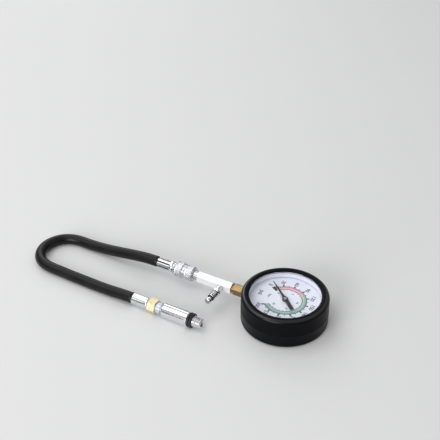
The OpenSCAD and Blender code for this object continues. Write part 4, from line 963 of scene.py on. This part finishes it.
def zinc(name, colours):
    """Zinc plate: a metal skin whose colour drifts in clouds, with a fine grain."""
    plate = Finish(name, {"Metallic": 0.6})
    drift = plate.noise(4.5, detail=2.0)
    grain = plate.noise(0.3)
    plate.paint({
        "Base Color": plate.node("ShaderNodeValToRGB", {"stops": colours}, {0: drift}),
        "Roughness": 0.26 + grain * 0.14,
        "Normal": plate.relief(grain, 0.004),
    })
    return plate


yellow_zinc = zinc("yellow_zinc", [
    (0.3, tint(224, 219, 186)), (0.5, tint(215, 206, 164)), (0.62, tint(207, 194, 146)),
    (0.75, tint(216, 212, 182))])
blue_zinc = zinc("blue_zinc", [
    (0.3, tint(208, 215, 222)), (0.5, tint(198, 207, 217)), (0.65, tint(191, 201, 214)),
    (0.75, tint(202, 208, 216))])
# Painted shade: the fitting is darker from inside the far ferrule to just past its lip, in the gap between
# the ferrule and the hexagon.
yellow_zinc.darken(yellow_zinc.across("X") < -0.1132, tint(52, 50, 44))
dress(yellow_zinc, "end_fitting")
dress(blue_zinc, "zinc_collar")


# Adapter tube and seal rings
# Turned steel adapter, chromed, with a fine screw thread for a small spark plug hole. Two rubber
# rings lie on a turned-down seat and seal against the engine.
BODY = (32.4, 60.2)
SEAT_END = 65.0
THREAD_END = 73.6
VALVE_FLOOR = 56.7
PITCH = 1.0
THREAD_DEPTH = 0.55
THREAD_R = 5.0
BODY_R = 6.9
CORE_R = 1.6


def threaded(along, radius, angle):
    if radius < 4.9 or along < SEAT_END:
        return radius
    turn = (along / PITCH - angle / (2 * math.pi)) % 1.0
    share = ramped(along, SEAT_END + 0.3, THREAD_END - 0.8, 0.5)
    return radius - THREAD_DEPTH * share * (1 - abs(2 * turn - 1))


adapter_profile = eased([(BODY[0], 4.03), (BODY[0], 4.8), (BODY[0] + 0.7, 4.8), (BODY[0] + 0.8, 6.2),
                         (BODY[0] + 1.5, BODY_R), (BODY[1] - 0.5, BODY_R), (BODY[1], 6.4),
                         (BODY[1], 4.6), (SEAT_END, 4.6), (SEAT_END, THREAD_R)], 0.14, False, 3)
adapter_profile += [(s, THREAD_R) for s in stations(SEAT_END, THREAD_END - 0.8, 80)]
adapter_profile += [(THREAD_END - 0.8, THREAD_R), (THREAD_END, 4.2), (THREAD_END, 2.63), (VALVE_FLOOR, 2.63),
                    (VALVE_FLOOR, CORE_R), (40.9, CORE_R), (40.9, 4.03)]
adapter_mesh = turned("threaded_adapter", adapter_profile, 112, TO_TIP, reach=threaded)
adapter = add_piece("threaded_adapter", adapter_mesh, "hose", chrome_x)
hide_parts("adapter_tube")
dress(seal_rubber, "seal_rings")


# Check valve
# A brass core in the adapter's tip with a sprung pin, so that the reading holds after each
# stroke. It is the same kind of core as in a tyre valve.
core_brass = bare_metal("core_brass", BRASS, TARNISH, 0.45, (0.22, 0.36), ROUND_X)
dress(core_brass, "check_valve_body", "check_valve_pin")
dress(seal_rubber, "check_valve_seal")
pin_spring = add_spring("check_valve_spring", "hose", TO_TIP, seat=VALVE_FLOOR, length=7.4, radius=1.65,
                        wire=0.35, turns=7.0)


# Floor, light and camera
# A pale floor under soft light from above, as in a photo studio. The room is white overhead and
# greyer at eye level, which gives the bright metal something to mirror.
floor_mesh = bpy.data.meshes.new("floor")
FLOOR_HALF = 40.0
corners = [(-FLOOR_HALF, -FLOOR_HALF, 0), (FLOOR_HALF, -FLOOR_HALF, 0), (FLOOR_HALF, FLOOR_HALF, 0),
           (-FLOOR_HALF, FLOOR_HALF, 0)]
floor_mesh.from_pydata(corners, [], [(0, 1, 2, 3)])
floor = bpy.data.objects.new("floor", floor_mesh)
bpy.context.scene.collection.objects.link(floor)
floor_paint = Finish("floor_paint", {"Base Color": (0.8, 0.8, 0.8, 1.0), "Roughness": 0.9})
floor_mesh.materials.append(floor_paint.material)

room = bpy.data.worlds.new("studio_room")
room.use_nodes = True
bpy.context.scene.world = room
sky = Tree(room.node_tree)
heading = sky.node("ShaderNodeTexCoord", output="Generated")
height = sky.node("ShaderNodeSeparateXYZ", {}, {0: heading}, "Z")
ROOM_COLOURS = [
    (0.0, (0.1, 0.1, 0.11, 1)), (0.16, (0.16, 0.16, 0.17, 1)), (0.42, (0.8, 0.81, 0.83, 1)),
    (1.0, (1, 1, 1, 1))]
walls = sky.node("ShaderNodeValToRGB", {"stops": ROOM_COLOURS}, {0: height})
sky.feed(room.node_tree.nodes["Background"], {"Color": walls, "Strength": 0.6})


def softbox(name, place, aim, size, power):
    """A square lamp with a diffuser, turned to a point."""
    lamp = bpy.data.lights.new(name, "AREA")
    lamp.shape = "SQUARE"
    lamp.size = size
    lamp.energy = power
    box = bpy.data.objects.new(name, lamp)
    box.location = place
    box.rotation_euler = (Vector(aim) - Vector(place)).to_track_quat("-Z", "Y").to_euler()
    bpy.context.scene.collection.objects.link(box)


OBJECT_MIDDLE = (-0.11, -0.01, 0.01)
softbox("key_box", (-0.6, -0.25, 1.0), OBJECT_MIDDLE, 0.8, 3.0)
softbox("front_box", (-0.25, -2.2, 0.75), OBJECT_MIDDLE, 1.4, 34.0)
softbox("back_box", (-0.95, 0.8, 0.75), OBJECT_MIDDLE, 0.8, 3.0)

camera_data = bpy.data.cameras.new("camera")
camera_data.lens = 81.0
camera_data.sensor_width = 36.0
camera_data.clip_end = 100.0
camera = bpy.data.objects.new("camera", camera_data)
bpy.context.scene.collection.objects.link(camera)
CAMERA_AT = Vector((0.2909, -0.6284, 0.5936))
CAMERA_AIM = Vector((-0.115, 0.0832, 0.02))
camera.location = CAMERA_AT
camera.rotation_euler = (CAMERA_AIM - CAMERA_AT).to_track_quat("-Z", "Y").to_euler()
bpy.context.scene.camera = camera
bpy.context.scene.view_settings.view_transform = "Standard"
